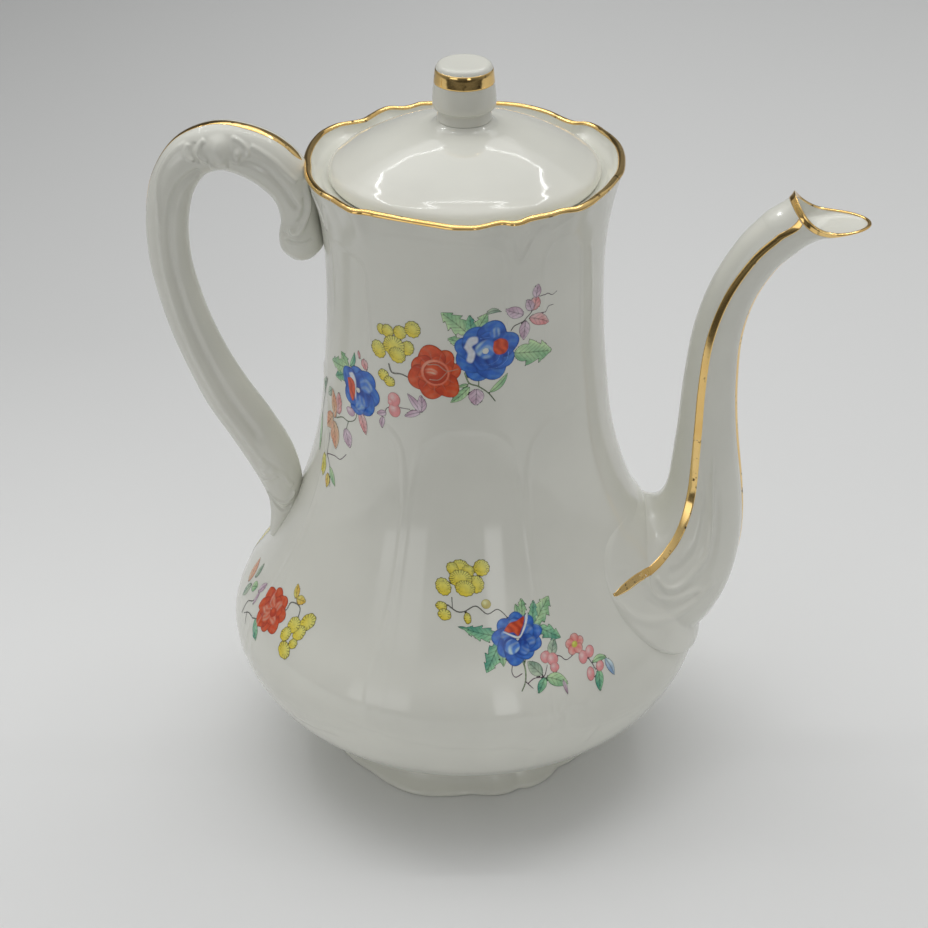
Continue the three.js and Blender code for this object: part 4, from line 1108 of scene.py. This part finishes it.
def brush_shape(sheet, knots, colours, edge=0.4, body=1.0, soft=0.14):
    """A free shape: a smooth closed curve through the knots. A point is inside where a ray from it crosses
    the curve an odd number of times, and its depth is the least distance to the curve."""
    ring = curve([*knots, knots[0]], np.linspace(0, 1, 8 * len(knots) + 1))
    u, v = sheet["u"], sheet["v"]
    odd, nearest = np.zeros(u.shape, bool), np.full(u.shape, 9.0)
    for start, end in zip(ring[:-1], ring[1:]):
        nearest = np.minimum(nearest, from_straight(u, v, start, end)[0])
        if start[1] != end[1]:
            crosses = (start[1] > v) != (end[1] > v)
            odd ^= crosses & (u < start[0] + (v - start[1]) * (end[0] - start[0]) / (end[1] - start[1]))
    inside = np.where(odd, nearest, -nearest)
    deep, light, ink = (np.asarray(c) for c in colours)
    grain = 0.5 + 0.5 * np.sin(2.4 * u + 1.1 * v + np.sin(1.7 * v))
    colour = blend(blend(deep, light, grain), ink, edge * outline(inside, 0.2))
    lay(sheet, inside, colour, soft=soft, body=body)


def brush_dab(sheet, centre, across, up, colours, edge=0.35):
    """A round dab: an ellipse, lighter at its upper left, with a darker outline."""
    x, y = about(sheet, centre, 0)
    inside = (1 - np.hypot(x / across, y / up)) * min(across, up)
    deep, light = (np.asarray(c) for c in colours)
    glow = np.exp(-((x / across + 0.25) ** 2 + (y / up - 0.3) ** 2) / 0.25)
    lay(sheet, inside, blend(blend(deep, light, glow), deep * 0.5, edge * outline(inside, 0.16)))


def brush_frill(sheet, centre, across, up, tilt=0.0, frills=11):
    """A frilled yellow petal: an ellipse whose edge is scalloped, |sin| of the turn times the number of
    frills, with an olive ink outline and short ink ticks that run in from each scallop."""
    x, y = about(sheet, centre, tilt)
    angle = np.arctan2(y / up, x / across)
    wave = np.abs(np.sin(angle * frills / 2))
    radius = np.hypot(x / across, y / up) / (0.92 + 0.08 * wave)
    inside = (1 - radius) * min(across, up)
    body = blend(*yellow, np.clip(0.35 + 0.5 * y / up + 0.3 * x / across, 0, 1))
    twice = np.abs(np.sin(angle * frills))
    ticks = np.exp(-(twice / 0.36) ** 2) * np.clip((radius - 0.42) / 0.2, 0, 1) * (y > -0.5 * up)
    lay(sheet, inside, blend(body, olive_ink, np.clip(outline(inside, 0.18) + ticks, 0, 1)))


# %% Enamel colours, as they look in daylight
def paint(red, green, blue):
    """A colour as seen on the lit pot, 0 to 255, made linear. The white glaze beside it looks about half as
    bright as it is, so the enamel is made brighter by as much."""
    share = np.array([red, green, blue]) / 255
    return np.minimum(((share + 0.055) / 1.055) ** 2.4 * 2.1, 0.88)


cobalt = (paint(18, 50, 118), paint(42, 88, 160), paint(10, 30, 80))
cobalt_pale = (paint(62, 104, 168), paint(146, 168, 194), paint(36, 76, 142))
rust = (paint(140, 42, 18), paint(168, 66, 32), paint(95, 26, 12))
rust_pale = (paint(170, 90, 66), paint(198, 150, 130), paint(135, 52, 34))
yellow = (paint(176, 158, 52), paint(206, 198, 100))
olive_ink = paint(66, 58, 24)
leaf_green = (paint(100, 140, 105), paint(152, 178, 134))
leaf_teal = (paint(60, 118, 100), paint(122, 162, 124))
leaf_mist = (paint(98, 120, 104), paint(150, 162, 142))
lilac = (paint(146, 122, 136), paint(178, 160, 168))
rose = (paint(172, 112, 112), paint(192, 150, 148))
rose_edge = (paint(176, 100, 96), paint(200, 146, 138), paint(125, 60, 60))
salmon = (paint(180, 118, 94), paint(196, 152, 126))
ochre = (paint(176, 140, 56), paint(196, 166, 92))
stem_ink = paint(92, 92, 84)
stem_green = paint(100, 116, 86)
mauve_ink = paint(108, 84, 100)
white = (paint(170, 176, 182), paint(186, 186, 182), cobalt_pale[1])


# %% The big heads: peony-like, with lobed petals round a centre
def brush_peony(sheet, centre, size, colours, lobes, heart, broad=0.4):
    """Outer petals at (turn, share of size), each with a pale wash near its rim, then a closed inner round
    of petals, and a heart painted by its own strokes."""
    wash = (colours[1], np.minimum(colours[1] * 1.8 + 0.08, 0.8), colours[1])
    for turn_deg, share in lobes:
        half = size * broad * (1 + 0.12 * math.sin(3 * turn_deg))
        brush_petal(sheet, centre, size * share, half, turn_deg, colours, start=0.1, streaks=0.35,
                    edge=0.65)
        brush_petal(sheet, centre, size * share * 0.97, half * 0.62, turn_deg + 6, wash, start=0.62,
                    streaks=0.9, edge=0.0, body=0.35)
    for turn_deg in range(20, 380, 60):
        brush_petal(sheet, centre, size * 0.6, size * 0.27, turn_deg, colours, start=0.15, streaks=0.4,
                    waves=4, edge=0.6)
    heart(sheet)


def new_sheet(left, right, low, high, step=0.2):
    """An empty sheet: a square grid of points in mm, each with a colour and a depth inside the paint."""
    u, v = np.meshgrid(np.arange(left, right, step), np.arange(low, high, step))
    bare = {"colour": np.zeros(u.shape + (3,)), "inside": np.full(u.shape, -9.0)}
    return {"u": u, "v": v, "step": step, **bare}


# %% Wrapping a sheet on the pot
wall_heights = np.linspace(24, rim_height, 4000)
wall_steps = np.hypot(np.diff(wall_heights), np.diff(body_radius(wall_heights)))
wall_lengths = np.concatenate([[0], np.cumsum(wall_steps)])


def wrap(sheet, name, azimuth, height):
    """Paint film on the pot. v runs up the wall from that height, u round the pot: the turn is u over the
    radius there. Film faces are those with paint at a corner; a point outside the paint by less than a step
    and a half moves down the slope of the inside distance onto the edge."""
    inside, step = sheet["inside"], sheet["step"]
    slope_v, slope_u = np.gradient(inside, step)
    steep = np.maximum(slope_u ** 2 + slope_v ** 2, 0.3)
    move = np.where((inside < 0) & (inside > -1.5 * step), -inside, 0) / steep
    u, v = sheet["u"] + move * slope_u, sheet["v"] + move * slope_v
    painted = inside > 0
    keep = painted[:-1, :-1] | painted[1:, :-1] | painted[:-1, 1:] | painted[1:, 1:]
    number = np.arange(inside.size).reshape(inside.shape)
    corners = np.stack([number[:-1, :-1], number[:-1, 1:], number[1:, 1:], number[1:, :-1]], -1)[keep]
    used, faces = np.unique(corners, return_inverse=True)
    faces = faces.reshape(-1, 4)
    base = np.interp(height, wall_heights, wall_lengths)
    heights = np.interp(base + v.ravel()[used], wall_lengths, wall_heights)
    turns = azimuth + np.degrees(u.ravel()[used] / body_radius(heights))
    lift = 0.07 + 0.02 * np.clip(inside.ravel()[used] / 0.4, 0, 1)
    points = (on_body(turns, heights, lift) + np.array([axis_x, 0, 0])) / 1000
    mesh = mesh_of(name, points, [faces])
    layer = mesh.attributes.new("enamel_colour", "FLOAT_COLOR", "POINT")
    colour = sheet["colour"].reshape(-1, 3)[used]
    layer.data.foreach_set("color", np.hstack([colour, np.ones((len(used), 1))]).astype(np.float32).ravel())
    piece = bpy.data.objects.new(name, mesh)
    bpy.context.scene.collection.objects.link(piece)
    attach(piece, "pot")
    print(name, len(faces), "faces of paint")


def wrap_both(sheet, name, azimuth, height):
    """The spray in front, and the same one behind, the other way round the pot."""
    wrap(sheet, name, azimuth, height)
    wrap(sheet, name + "_back", 180 - azimuth, height)


def brush_each(brush, sheet, rows, **same):
    """One stroke of a brush for each row of its places, sizes and colours."""
    for row in rows:
        brush(sheet, *row, **same)


# %% The neck spray
def paint_neck_spray():
    """A garland across the neck, drawn round the red head. Stems first, then leaves, then heads."""
    sheet = new_sheet(-60, 42, -53, 30)
    stems = [
        ([(22.9, 13.2), (24.0, 14.5), (26.7, 15.4), (27.9, 16.5), (29.0, 17.5), (30.2, 19.0),
         (31.1, 21.0)], stem_ink, 0.34),
        ([(32.5, 22.7), (35.1, 23.0), (36.9, 22.0), (38.7, 22.8)], mauve_ink, 0.26),
        ([(31.5, 17.0), (34.3, 17.1), (35.6, 18.5), (37.6, 18.5)], mauve_ink, 0.26),
        ([(8.8, 0.1), (10.1, -3.2), (12.9, -4.4), (15.9, -6.7), (18.1, -9.6)], stem_green, 0.5),
        ([(13.0, -1.6), (13.0, -4.4)], stem_green, 0.4),
        ([(-15.4, -0.1), (-14.3, -2.6), (-11.1, -2.4), (-8.4, -3.1), (-5, -3.6)], stem_ink, 0.55),
        ([(-17.1, -17.0), (-15.9, -14.7), (-13.2, -13.8), (-11.1, -13.6), (-7.9, -13.5),
         (-5.0, -13.6)], mauve_ink, 0.28),
        ([(-39.8, -26.8), (-36.1, -25.0), (-32.7, -25.0), (-29.2, -22.9),
         (-28.1, -18.5)], stem_green, 0.36), ([(-32.7, -25.0), (-33.9, -28.1)], stem_green, 0.3),
        ([(-49.1, -18.0), (-52.8, -25.9), (-55.1, -34.6), (-53.6, -42.6)], stem_green, 0.5),
        ([(-44.7, -40.7), (-40.2, -39.5), (-36.5, -39.1), (-33.5, -36.3)], mauve_ink, 0.3),
        ([(-44.7, -34), (-44.9, -40.7), (-42.8, -44.3), (-41.5, -50)], mauve_ink, 0.3),
    ]
    leaves = [
        ((9.9, 13.0), (1.7, 20.0), 3.1, leaf_green, 4, -0.1),
        ((11.4, 12.5), (15.7, 19.9), 2.1, leaf_green, 3), ((11.0, 12.5), (10.2, 19.4), 1.7, leaf_teal, 3),
        ((15.2, 19.4), (19.9, 19.8), 0.9, leaf_mist, 0, 0.75),
        ((8.4, 10.2), (3.6, 11.4), 1.7, leaf_green, 2), ((26.9, 17.8), (21.1, 20.5), 2.0, lilac, 0, 0.12),
        ((30.2, 18.4), (31.2, 23.4), 1.9, rose, 0, -0.1), ((29.6, 18.4), (28.0, 22.6), 1.5, lilac, 0, -0.1),
        ((31.0, 22.4), (31.8, 27.2), 1.5, lilac), ((28.8, 16.3), (35.8, 13.1), 2.0, rose, 0, 0.14),
        ((27.5, 15.5), (26.9, 9.3), 1.8, lilac), ((23.9, 5.4), (36.9, 3.4), 4.1, leaf_green, 3, 0.03),
        ((10.3, -4.4), (4.5, -9.8), 1.4, leaf_green, 0, 0.15), ((9.9, -3.6), (6.5, -4.6), 0.6, leaf_green),
        ((16.3, -6.6), (21.9, -0.8), 1.1, leaf_green, 0, -0.3), ((12.4, -5.2), (12.2, -10.6), 2.4, lilac),
        ((-4.6, -13.9), (-9.1, -8.4), 1.2, lilac, 0, -0.12),
        ((-4.6, -13.9), (-4.9, -8.2), 1.5, lilac, 0, -0.35),
        ((-4.8, -13.9), (-9.9, -16.2), 1.1, lilac, 0, -0.15), ((-16.3, -16.4), (-19.9, -17.7), 1.0, lilac),
        ((-17.6, -18.0), (-18.0, -22.0), 1.0, lilac), ((-27.2, -19.4), (-24.3, -26.4), 1.7, rose, 0, 0.1),
        ((-34.3, -28.0), (-31.6, -33.4), 2.4, lilac), ((-25.7, -1.6), (-24.2, -5.0), 1.5, rose),
        ((-27.3, -2.2), (-27.9, 0.6), 0.7, rose), ((-31.6, -8.6), (-41.4, -13.4), 2.2, leaf_teal, 3),
        ((-33.0, -7.6), (-44.6, -9.6), 2.5, leaf_green, 4),
        ((-33.0, -7.4), (-37.6, -3.6), 2.1, leaf_green, 3),
        ((-32.2, -6.4), (-29.8, -0.8), 1.0, leaf_teal, 0, -0.5),
        ((-47.6, -22.0), (-43.8, -19.0), 1.5, leaf_mist), ((-38.6, -25.0), (-38.6, -17.8), 2.2, rose),
        ((-40.6, -27.2), (-43.6, -18.6), 2.2, salmon), ((-42.4, -27.0), (-47.4, -32.6), 2.6, salmon),
        ((-41.6, -28.4), (-39.8, -37.2), 2.9, salmon), ((-53.4, -24.6), (-50.6, -18.0), 1.8, leaf_mist),
        ((-55.0, -32.0), (-53.2, -43.6), 1.6, leaf_green),
        ((-42.8, -44.0), (-38.4, -48.6), 1.3, leaf_green), ((-47.4, -41.4), (-46.9, -48.6), 2.0, yellow),
        ((-43.4, -46.4), (-43.6, -51.0), 1.5, ochre),
    ]
    brush_each(brush_line, sheet, stems)
    brush_each(brush_leaf, sheet, leaves)
    brush_each(brush_dab, sheet, [
        ((-31.6, -21.2), 2.1, 1.5, lilac), ((-13.4, -14.9), 2.1, 2.3, rose),
        ((-13.6, -11.4), 2.2, 2.3, rose), ((-14.8, -12.6), 1.0, 1.0, rose),
    ])
    brush_each(brush_frill, sheet, [
        ((-18.0, 10.9), 1.7, 1.9, 20), ((-15.7, 10.9), 2.2, 2.3, 0), ((-11.4, 11.4), 2.3, 2.4, -20),
        ((-7.2, 13.2), 2.7, 2.9, 0), ((-19.2, 3.9), 2.7, 3.1, 30), ((-8.9, 6.6), 2.2, 2.6, -15),
        ((-13.6, 6.3), 3.9, 3.6, 0), ((-12.4, 3.6), 3.0, 2.7, -10),
    ])
    brush_each(brush_frill, sheet, [
        ((-17.4, -4.2), 2.1, 2.0), ((-15.2, -5.8), 2.1, 1.8),
    ], frills=5)

    def blue_heart(sheet):
        """A pale crescent and petals round a red bud."""
        brush_shape(sheet, [(8.6, 8.6), (10.0, 11.6), (12.4, 12.0), (12.6, 10.2), (10.9, 8.8), (11.9, 6.6),
                            (11.0, 3.6), (9.4, 4.2), (9.7, 6.6)], white, edge=0.1, soft=0.5,
                    body=0.85)
        brush_petal(sheet, (18.6, 7.6), 6.4, 3.1, 178, cobalt_pale, streaks=0.8, edge=0.1, body=0.8)
        brush_petal(sheet, (17.2, 11.2), 3.6, 1.5, 66, cobalt_pale, streaks=1.0, edge=0.0, body=0.6)
        brush_each(brush_line, sheet, [
            ([(22.0, 6.2), (21.7, 4.0), (20.4, 2.4), (18.4, 1.4), (15.4, 1.2)], cobalt_pale[0], 0.5, 0.6),
            ([(19.4, 5.6), (18.6, 3.8), (16.2, 2.6), (13.4, 2.8)], cobalt_pale[0], 0.45, 0.6),
            ([(13.4, 11.4), (15.8, 11.6), (18.6, 11.2)], cobalt_pale[0], 0.45, 0.5),
        ])
        brush_shape(sheet, [(17.6, 10.2), (19.6, 11.0), (21.6, 10.0), (21.9, 7.6), (20.8, 5.9), (18.6, 5.7),
                            (17.3, 7.4)], rust, edge=0.5)

    brush_peony(sheet, (15.0, 7.2), 10.8, cobalt,
                [(250, 0.92), (208, 0.86), (292, 0.92), (335, 0.86), (165, 0.86), (122, 0.8), (68, 0.95),
                 (18, 0.98)],
                blue_heart, broad=0.43)

    def red_heart(sheet):
        """A closed round bud with pale veins and fine rays about it."""
        brush_dab(sheet, (-0.2, -0.2), 4.4, 4.3, rust_pale[:2], edge=0.2)
        brush_dab(sheet, (-0.1, -0.3), 3.7, 3.6, rust[:2], edge=0.4)
        brush_petal(sheet, (-3.4, 0.4), 3.6, 1.1, 350, rust_pale, streaks=1.0, edge=0.1, body=0.9)
        brush_line(sheet, [(-2.4, 2.2), (0.6, 2.4), (3.4, 0.6), (6.8, 1.5)], rust_pale[1], 0.3)
        brush_line(sheet, [(-1.8, -2.6), (1.0, -2.4), (3.4, 0.2)], rust_pale[1], 0.28)
        for turn_deg in range(10, 360, 32):
            way = np.array([np.cos(np.radians(turn_deg)), np.sin(np.radians(turn_deg))])
            brush_line(sheet, [way * 4.3, way * 6.4], rust_pale[1], 0.16, body=0.45)

    brush_peony(sheet, (-0.2, -0.2), 9.2, rust,
                [(10, 0.84), (58, 0.92), (103, 0.98), (162, 0.82), (206, 0.98), (258, 0.95), (312, 1.02)],
                red_heart, broad=0.44)

    def side_heart(sheet):
        """Pale washes beside a white edge and a red bud, seen from the side."""
        brush_petal(sheet, (-27.6, -9.6), 5.6, 2.4, 350, cobalt_pale, streaks=0.7, edge=0.0, body=0.6)
        brush_petal(sheet, (-28.6, -14.6), 4.6, 2.2, 315, cobalt_pale, streaks=0.7, edge=0.0, body=0.6)
        brush_petal(sheet, (-27.0, -16.0), 3.0, 1.6, 250, cobalt_pale, streaks=0.7, edge=0.0, body=0.5)
        brush_shape(sheet, [(-32.6, -8.8), (-30.6, -8.0), (-29.0, -10.4), (-29.0, -16.2), (-30.4, -12.0)],
                    white, edge=0.1, soft=0.4, body=0.85)
        brush_shape(sheet, [(-33.4, -10.6), (-31.4, -9.9), (-29.6, -11.2), (-29.4, -14.6), (-30.4, -17.2),
                            (-31.8, -16.0), (-32.6, -13.6)], rust, edge=0.5)

    brush_peony(sheet, (-28.0, -12.8), 9.9, cobalt,
                [(95, 0.75), (45, 0.92), (0, 0.9), (315, 0.85), (268, 0.8), (215, 0.74), (150, 0.88)],
                side_heart, broad=0.43)
    return sheet


wrap_both(paint_neck_spray(), "neck_spray", -11.9, 157.6)


# %% The belly spray
def paint_belly_spray():
    """A blue head with a trailing stem of yellow frills to the left and pink berries to the right."""
    sheet = new_sheet(-26, 34, -24, 28)
    stems = [
        ([(-20.2, 11.0), (-17.7, 9.1), (-15.3, 9.1), (-11.6, 10.7), (-8.4, 8.1), (-5.0, 9.3),
         (-2.4, 6.7)], stem_ink, 0.4), ([(-18.7, 13.4), (-18.9, 10.2)], stem_ink, 0.3),
        ([(0.2, -5.1), (1.2, -9.8), (0.7, -13.8), (-0.8, -16.6)], stem_green, 0.55),
        ([(1.9, -5.0), (1.6, -7.4), (1.0, -8.8)], stem_green, 0.45),
        ([(0.7, -13.8), (2.8, -16.3)], mauve_ink, 0.3),
        ([(0.0, -11.3), (-2.2, -12.1), (-3.1, -10.4), (-2.4, -7.8)], mauve_ink, 0.3),
        ([(1.5, -14.5), (3.7, -13.3), (6.7, -13.2), (7.9, -11.0), (8.4, -9.9)], mauve_ink, 0.3),
        ([(11.6, -7.5), (13.2, -8.3), (15.1, -9.9), (18.4, -8.7), (20.4, -9.0)], mauve_ink, 0.3),
        ([(22.7, -11.5), (23.7, -13.3), (24.8, -15.7)], mauve_ink, 0.3),
    ]
    leaves = [
        ((-5.4, 0.9), (-16.4, 3.9), 2.4, leaf_teal, 4, 0.06), ((-14.6, 3.6), (-18.0, 4.4), 0.5, leaf_teal),
        ((-5.4, -0.6), (-11.0, -10.0), 2.6, leaf_teal, 4), ((-5.2, -2.4), (-5.4, -8.6), 1.3, leaf_green, 3),
        ((5.6, 2.9), (11.8, 10.8), 3.1, leaf_green, 4, 0.05), ((5.4, 3.4), (6.6, 10.6), 1.5, leaf_teal, 3),
        ((7.0, 2.2), (14.2, -2.8), 2.2, leaf_teal, 3), ((2.4, 6.0), (2.8, 11.8), 1.5, leaf_green, 3),
        ((1.4, 6.2), (0.6, 10.4), 0.9, leaf_green), ((6.3, -12.8), (2.3, -7.8), 2.0, leaf_mist),
        ((7.1, -13.6), (4.3, -18.2), 1.4, leaf_teal),
        ((7.6, -13.5), (14.4, -17.2), 2.1, leaf_green, 0, 0.12), ((12.8, -15.4), (13.9, -20.4), 0.6, lilac),
        ((10.2, -7.6), (11.7, -2.2), 1.6, leaf_mist),
        ((23.9, -13.1), (29.5, -13.4), 1.1, leaf_green, 0, 0.5),
        ((28.8, -13.4), (31.6, -19.6), 1.3, (paint(96, 120, 150), paint(160, 180, 200)), 0, 0.15),
        ((25.8, -15.8), (25.4, -22.6), 1.6, leaf_teal),
    ]
    brush_each(brush_line, sheet, stems)
    brush_each(brush_leaf, sheet, leaves)
    brush_each(brush_frill, sheet, [
        ((-15.2, 22.8), 2.9, 2.5, 0), ((-17.6, 22.3), 1.9, 2.2, 20), ((-12.8, 21.6), 2.0, 2.0, 0),
        ((-8.6, 22.5), 2.6, 2.7, -10), ((-21.0, 16.6), 2.5, 2.9, 15), ((-10.8, 17.4), 2.6, 2.9, -10),
        ((-15.4, 19.2), 3.7, 2.9, 0), ((-14.3, 16.2), 3.2, 2.6, -8),
    ])
    brush_each(brush_frill, sheet, [
        ((-22.3, 10.6), 1.9, 1.5), ((-21.6, 8.0), 2.2, 1.9), ((-14.6, 7.0), 1.2, 1.9),
    ], frills=5)
    brush_dab(sheet, (-8.4, 11.2), 1.5, 1.5, (paint(150, 140, 80), paint(196, 188, 130)), edge=0.1)
    brush_each(brush_dab, sheet, [
        ((8.2, -7.4), 1.7, 1.9), ((10.4, -8.6), 1.8, 2.0), ((10.7, -11.2), 1.5, 1.5),
        ((20.9, -10.6), 1.6, 2.1), ((23.6, -9.6), 1.6, 1.9), ((22.7, -16.3), 1.4, 2.2),
        ((26.5, -15.0), 1.5, 1.6),
    ], colours=rose)
    for turn_deg in range(18, 378, 72):
        brush_petal(sheet, (18.7, -6.0), 3.3, 1.7, turn_deg, rose_edge, streaks=0.4, waves=2)
    brush_dab(sheet, (18.6, -6.0), 1.0, 1.0, (paint(150, 150, 60), paint(206, 190, 90)), edge=0.2)

    def heart(sheet):
        """Inner petals, a white fold and a red bud in it."""
        for turn_deg, far, half in ((152, 5.6, 2.4), (95, 6.4, 3.2), (28, 5.8, 2.8), (335, 5.8, 2.5),
                                    (290, 5.6, 2.4), (215, 5.6, 2.4)):
            brush_petal(sheet, (0.2, -0.4), far, half, turn_deg, cobalt, start=0.1, streaks=0.6, edge=0.7)
            brush_petal(sheet, (0.2, -0.4), far * 0.95, half * 0.6, turn_deg + 8, cobalt_pale, start=0.5,
                        streaks=0.7, edge=0.0, body=0.4)
        brush_petal(sheet, (-0.4, -0.2), 5.2, 2.3, 240, cobalt_pale, start=0.1, streaks=1.1, edge=0.5)
        brush_petal(sheet, (-0.4, -0.2), 3.4, 1.3, 240, cobalt, start=0.1, streaks=0.6, edge=0.1, body=0.5)
        brush_shape(sheet, [(4.3, 7.3), (3.4, 6.4), (3.0, 4.4), (1.9, 2.0), (0.4, 0.3), (-3.4, 2.0),
                            (-4.2, 2.2), (-2.8, 1.2), (0.4, -0.4), (2.3, 1.5), (3.5, 3.8), (4.1, 5.6)],
                    white, edge=0.2)
        brush_shape(sheet, [(-3.9, 2.5), (-2.0, 4.6), (0.6, 5.2), (2.9, 6.2), (2.6, 4.2), (1.6, 2.2),
                            (0.4, 0.4), (-0.9, 1.6), (-2.4, 1.7)], rust, edge=0.4)

    brush_peony(sheet, (0.0, -0.2), 8.0, cobalt,
                [(88, 1.0), (130, 0.96), (174, 0.98), (216, 0.94), (256, 1.06), (298, 0.92), (336, 0.98),
                 (12, 1.02), (50, 0.98)], heart, broad=0.4)
    return sheet


wrap_both(paint_belly_spray(), "belly_spray", 14.1, 75.4)


# %% The small spray beside the handle
def paint_side_spray():
    """A red head with yellow frills below it on the right and misty leaves on the left."""
    sheet = new_sheet(-33, 22, -15, 15)
    stems = [
        ([(5.0, 2.4), (5.8, 4.0), (6.1, 6.5), (8.9, 7.4), (11.3, 6.8), (12.4, 4.0)], stem_ink, 0.5),
        ([(-4.2, -5.8), (-8.5, -7.4), (-12.9, -8.1), (-16.4, -10.2)], stem_ink, 0.45),
        ([(-18.5, -11.3), (-17.4, -6.6), (-13.8, -4.2), (-13.3, -1.6)], stem_ink, 0.4),
        ([(-14.5, -8.6), (-12.4, -12.0)], stem_ink, 0.3),
    ]
    leaves = [
        ((7.3, 8.6), (5.0, 13.0), 1.5, ochre), ((7.6, 8.8), (12.2, 9.8), 1.6, ochre),
        ((-6.6, -6.6), (-1.4, -12.0), 1.8, leaf_teal), ((-20.4, -2.6), (-16.4, -0.2), 1.8, leaf_green),
        ((-21.4, -2.6), (-25.0, -8.6), 1.7, leaf_mist), ((-22.6, -0.4), (-21.5, 5.4), 1.5, leaf_mist),
        ((-14.2, -0.8), (-11.2, 4.0), 1.4, lilac), ((-12.6, -5.0), (-12.9, 0.6), 0.9, lilac),
        ((-25.6, -4.0), (-29.0, 3.4), 2.6, salmon),
    ]
    brush_each(brush_line, sheet, stems)
    brush_each(brush_leaf, sheet, leaves)
    brush_each(brush_frill, sheet, [
        ((17.0, 4.6), 2.8, 3.6, -30), ((16.2, 0.2), 2.6, 2.8, 0), ((12.4, 1.4), 2.8, 2.9, 20),
        ((11.4, -2.6), 2.4, 2.5, 0), ((16.4, -3.8), 1.9, 1.8, 0), ((14.2, -7.2), 3.3, 2.6, -30),
    ], frills=7)

    def heart(sheet):
        """Five pale rays round a small bud."""
        for turn_deg, far in ((130, 5.4), (60, 5.0), (250, 4.6), (200, 5.2), (330, 4.8)):
            brush_petal(sheet, (-0.4, -0.2), far, 1.5, turn_deg, rust_pale, streaks=0.7, edge=0.0,
                        body=0.55)
        brush_dab(sheet, (0.6, -0.2), 1.7, 1.6, rust[:2], edge=0.4)

    brush_peony(sheet, (-0.6, 0.0), 8.6, rust,
                [(150, 0.98), (102, 0.88), (54, 0.9), (8, 0.9), (324, 0.98), (278, 0.86), (235, 0.95),
                 (192, 0.94)],
                heart, broad=0.43)
    return sheet


wrap_both(paint_side_spray(), "side_spray", -63.0, 66.4)

# %% [markdown]
# ## Glaze
# Porcelain is white clay under clear glass. Its colour is a slightly warm white, clouded a little where the
# glaze lies thicker. The glaze is never dead level: a faint long wave bends the reflections, and a few
# iron specks show. All of it comes from noise on object coordinates, so it stays put when a piece moves.


# %% Porcelain material
def make_porcelain():
    """Warm white under a clear gloss, clouded a little, with a few iron specks and a faint long wave."""
    material, tree, place = new_material("porcelain_glaze")
    tone = ramp(tree, noise(tree, place, 28.0, 3.0), [(0.35, (0.75, 0.75, 0.68)),
                                                      (0.65, (0.80, 0.80, 0.725))])
    cells = node(tree, "ShaderNodeTexVoronoi", {"Vector": place, "Scale": 55.0})
    small = calc(tree, "LESS_THAN", cells.outputs["Distance"], 0.013)
    pick = node(tree, "ShaderNodeSeparateColor", {0: cells.outputs["Color"]})
    speck = calc(tree, "MULTIPLY", small, calc(tree, "GREATER_THAN", pick.outputs[0], 0.8))
    colour = mix(tree, speck, tone, (0.10, 0.08, 0.07, 1))
    wave = noise(tree, place, 70.0)
    bump = node(tree, "ShaderNodeBump", {"Height": wave, "Strength": 0.25, "Distance": 0.00012})
    gloss = remap(tree, noise(tree, place, 160.0), 0.0, 1.0, 0.05, 0.11)
    surface(tree, {"Base Color": colour, "Roughness": gloss, "Normal": bump.outputs[0], "IOR": 1.5})
    return material


porcelain = make_porcelain()


# %% Gold material
def make_gold():
    """Bright gold with brush laps, small burnt flecks, and rubbed spots where the glaze shows through."""
    material, tree, place = new_material("fired_gold")
    rub = noise(tree, place, 230.0, 4.0)
    worn = calc(tree, "GREATER_THAN", rub, 0.71)
    lap = noise(tree, place, 90.0, 3.0)
    tone = ramp(tree, lap, [(0.3, (0.88, 0.57, 0.20)), (0.7, (0.98, 0.70, 0.29))])
    colour = mix(tree, worn, tone, (0.5, 0.42, 0.32, 1))
    fleck = remap(tree, noise(tree, place, 620.0), 0.62, 0.68)
    burnt = calc(tree, "MULTIPLY", fleck, remap(tree, lap, 0.5, 0.58))
    colour = mix(tree, burnt, colour, (0.10, 0.055, 0.02, 1))
    metal = calc(tree, "SUBTRACT", 1.0, worn)
    rough = remap(tree, lap, 0.0, 1.0, 0.06, 0.16)
    bump = node(tree, "ShaderNodeBump", {"Height": rub, "Strength": 0.4, "Distance": 0.00005})
    surface(tree, {"Base Color": colour, "Metallic": metal, "Roughness": rough, "Normal": bump.outputs[0]})
    return material


gold = make_gold()


# %% Enamel material
def make_enamel():
    """Fired enamel: the painted colour, clouded by noise, under nearly the same gloss as the glaze."""
    material, tree, place = new_material("painted_enamel")
    colour = node(tree, "ShaderNodeAttribute", attribute_name="enamel_colour")
    cloud = noise(tree, place, 900.0, 3.0)
    tone = ramp(tree, cloud, [(0.3, (0.84, 0.84, 0.84)), (0.7, (1.0, 1.0, 1.0))])
    clouded = mix(tree, 1.0, colour.outputs["Color"], tone, "MULTIPLY")
    gloss = remap(tree, cloud, 0.0, 1.0, 0.10, 0.24)
    surface(tree, {"Base Color": clouded, "Roughness": gloss})
    return material


enamel = make_enamel()

# %% Give every piece and every CAD node its finish
for piece in bpy.data.objects:
    if piece.type != "MESH" or piece is backdrop:
        continue
    piece.data.materials.clear()
    gilded = any(word in piece.name for word in ("gold", "gild", "line", "band"))
    piece.data.materials.append(enamel if "spray" in piece.name else gold if gilded else porcelain)
print("materials", [material.name for material in bpy.data.materials])
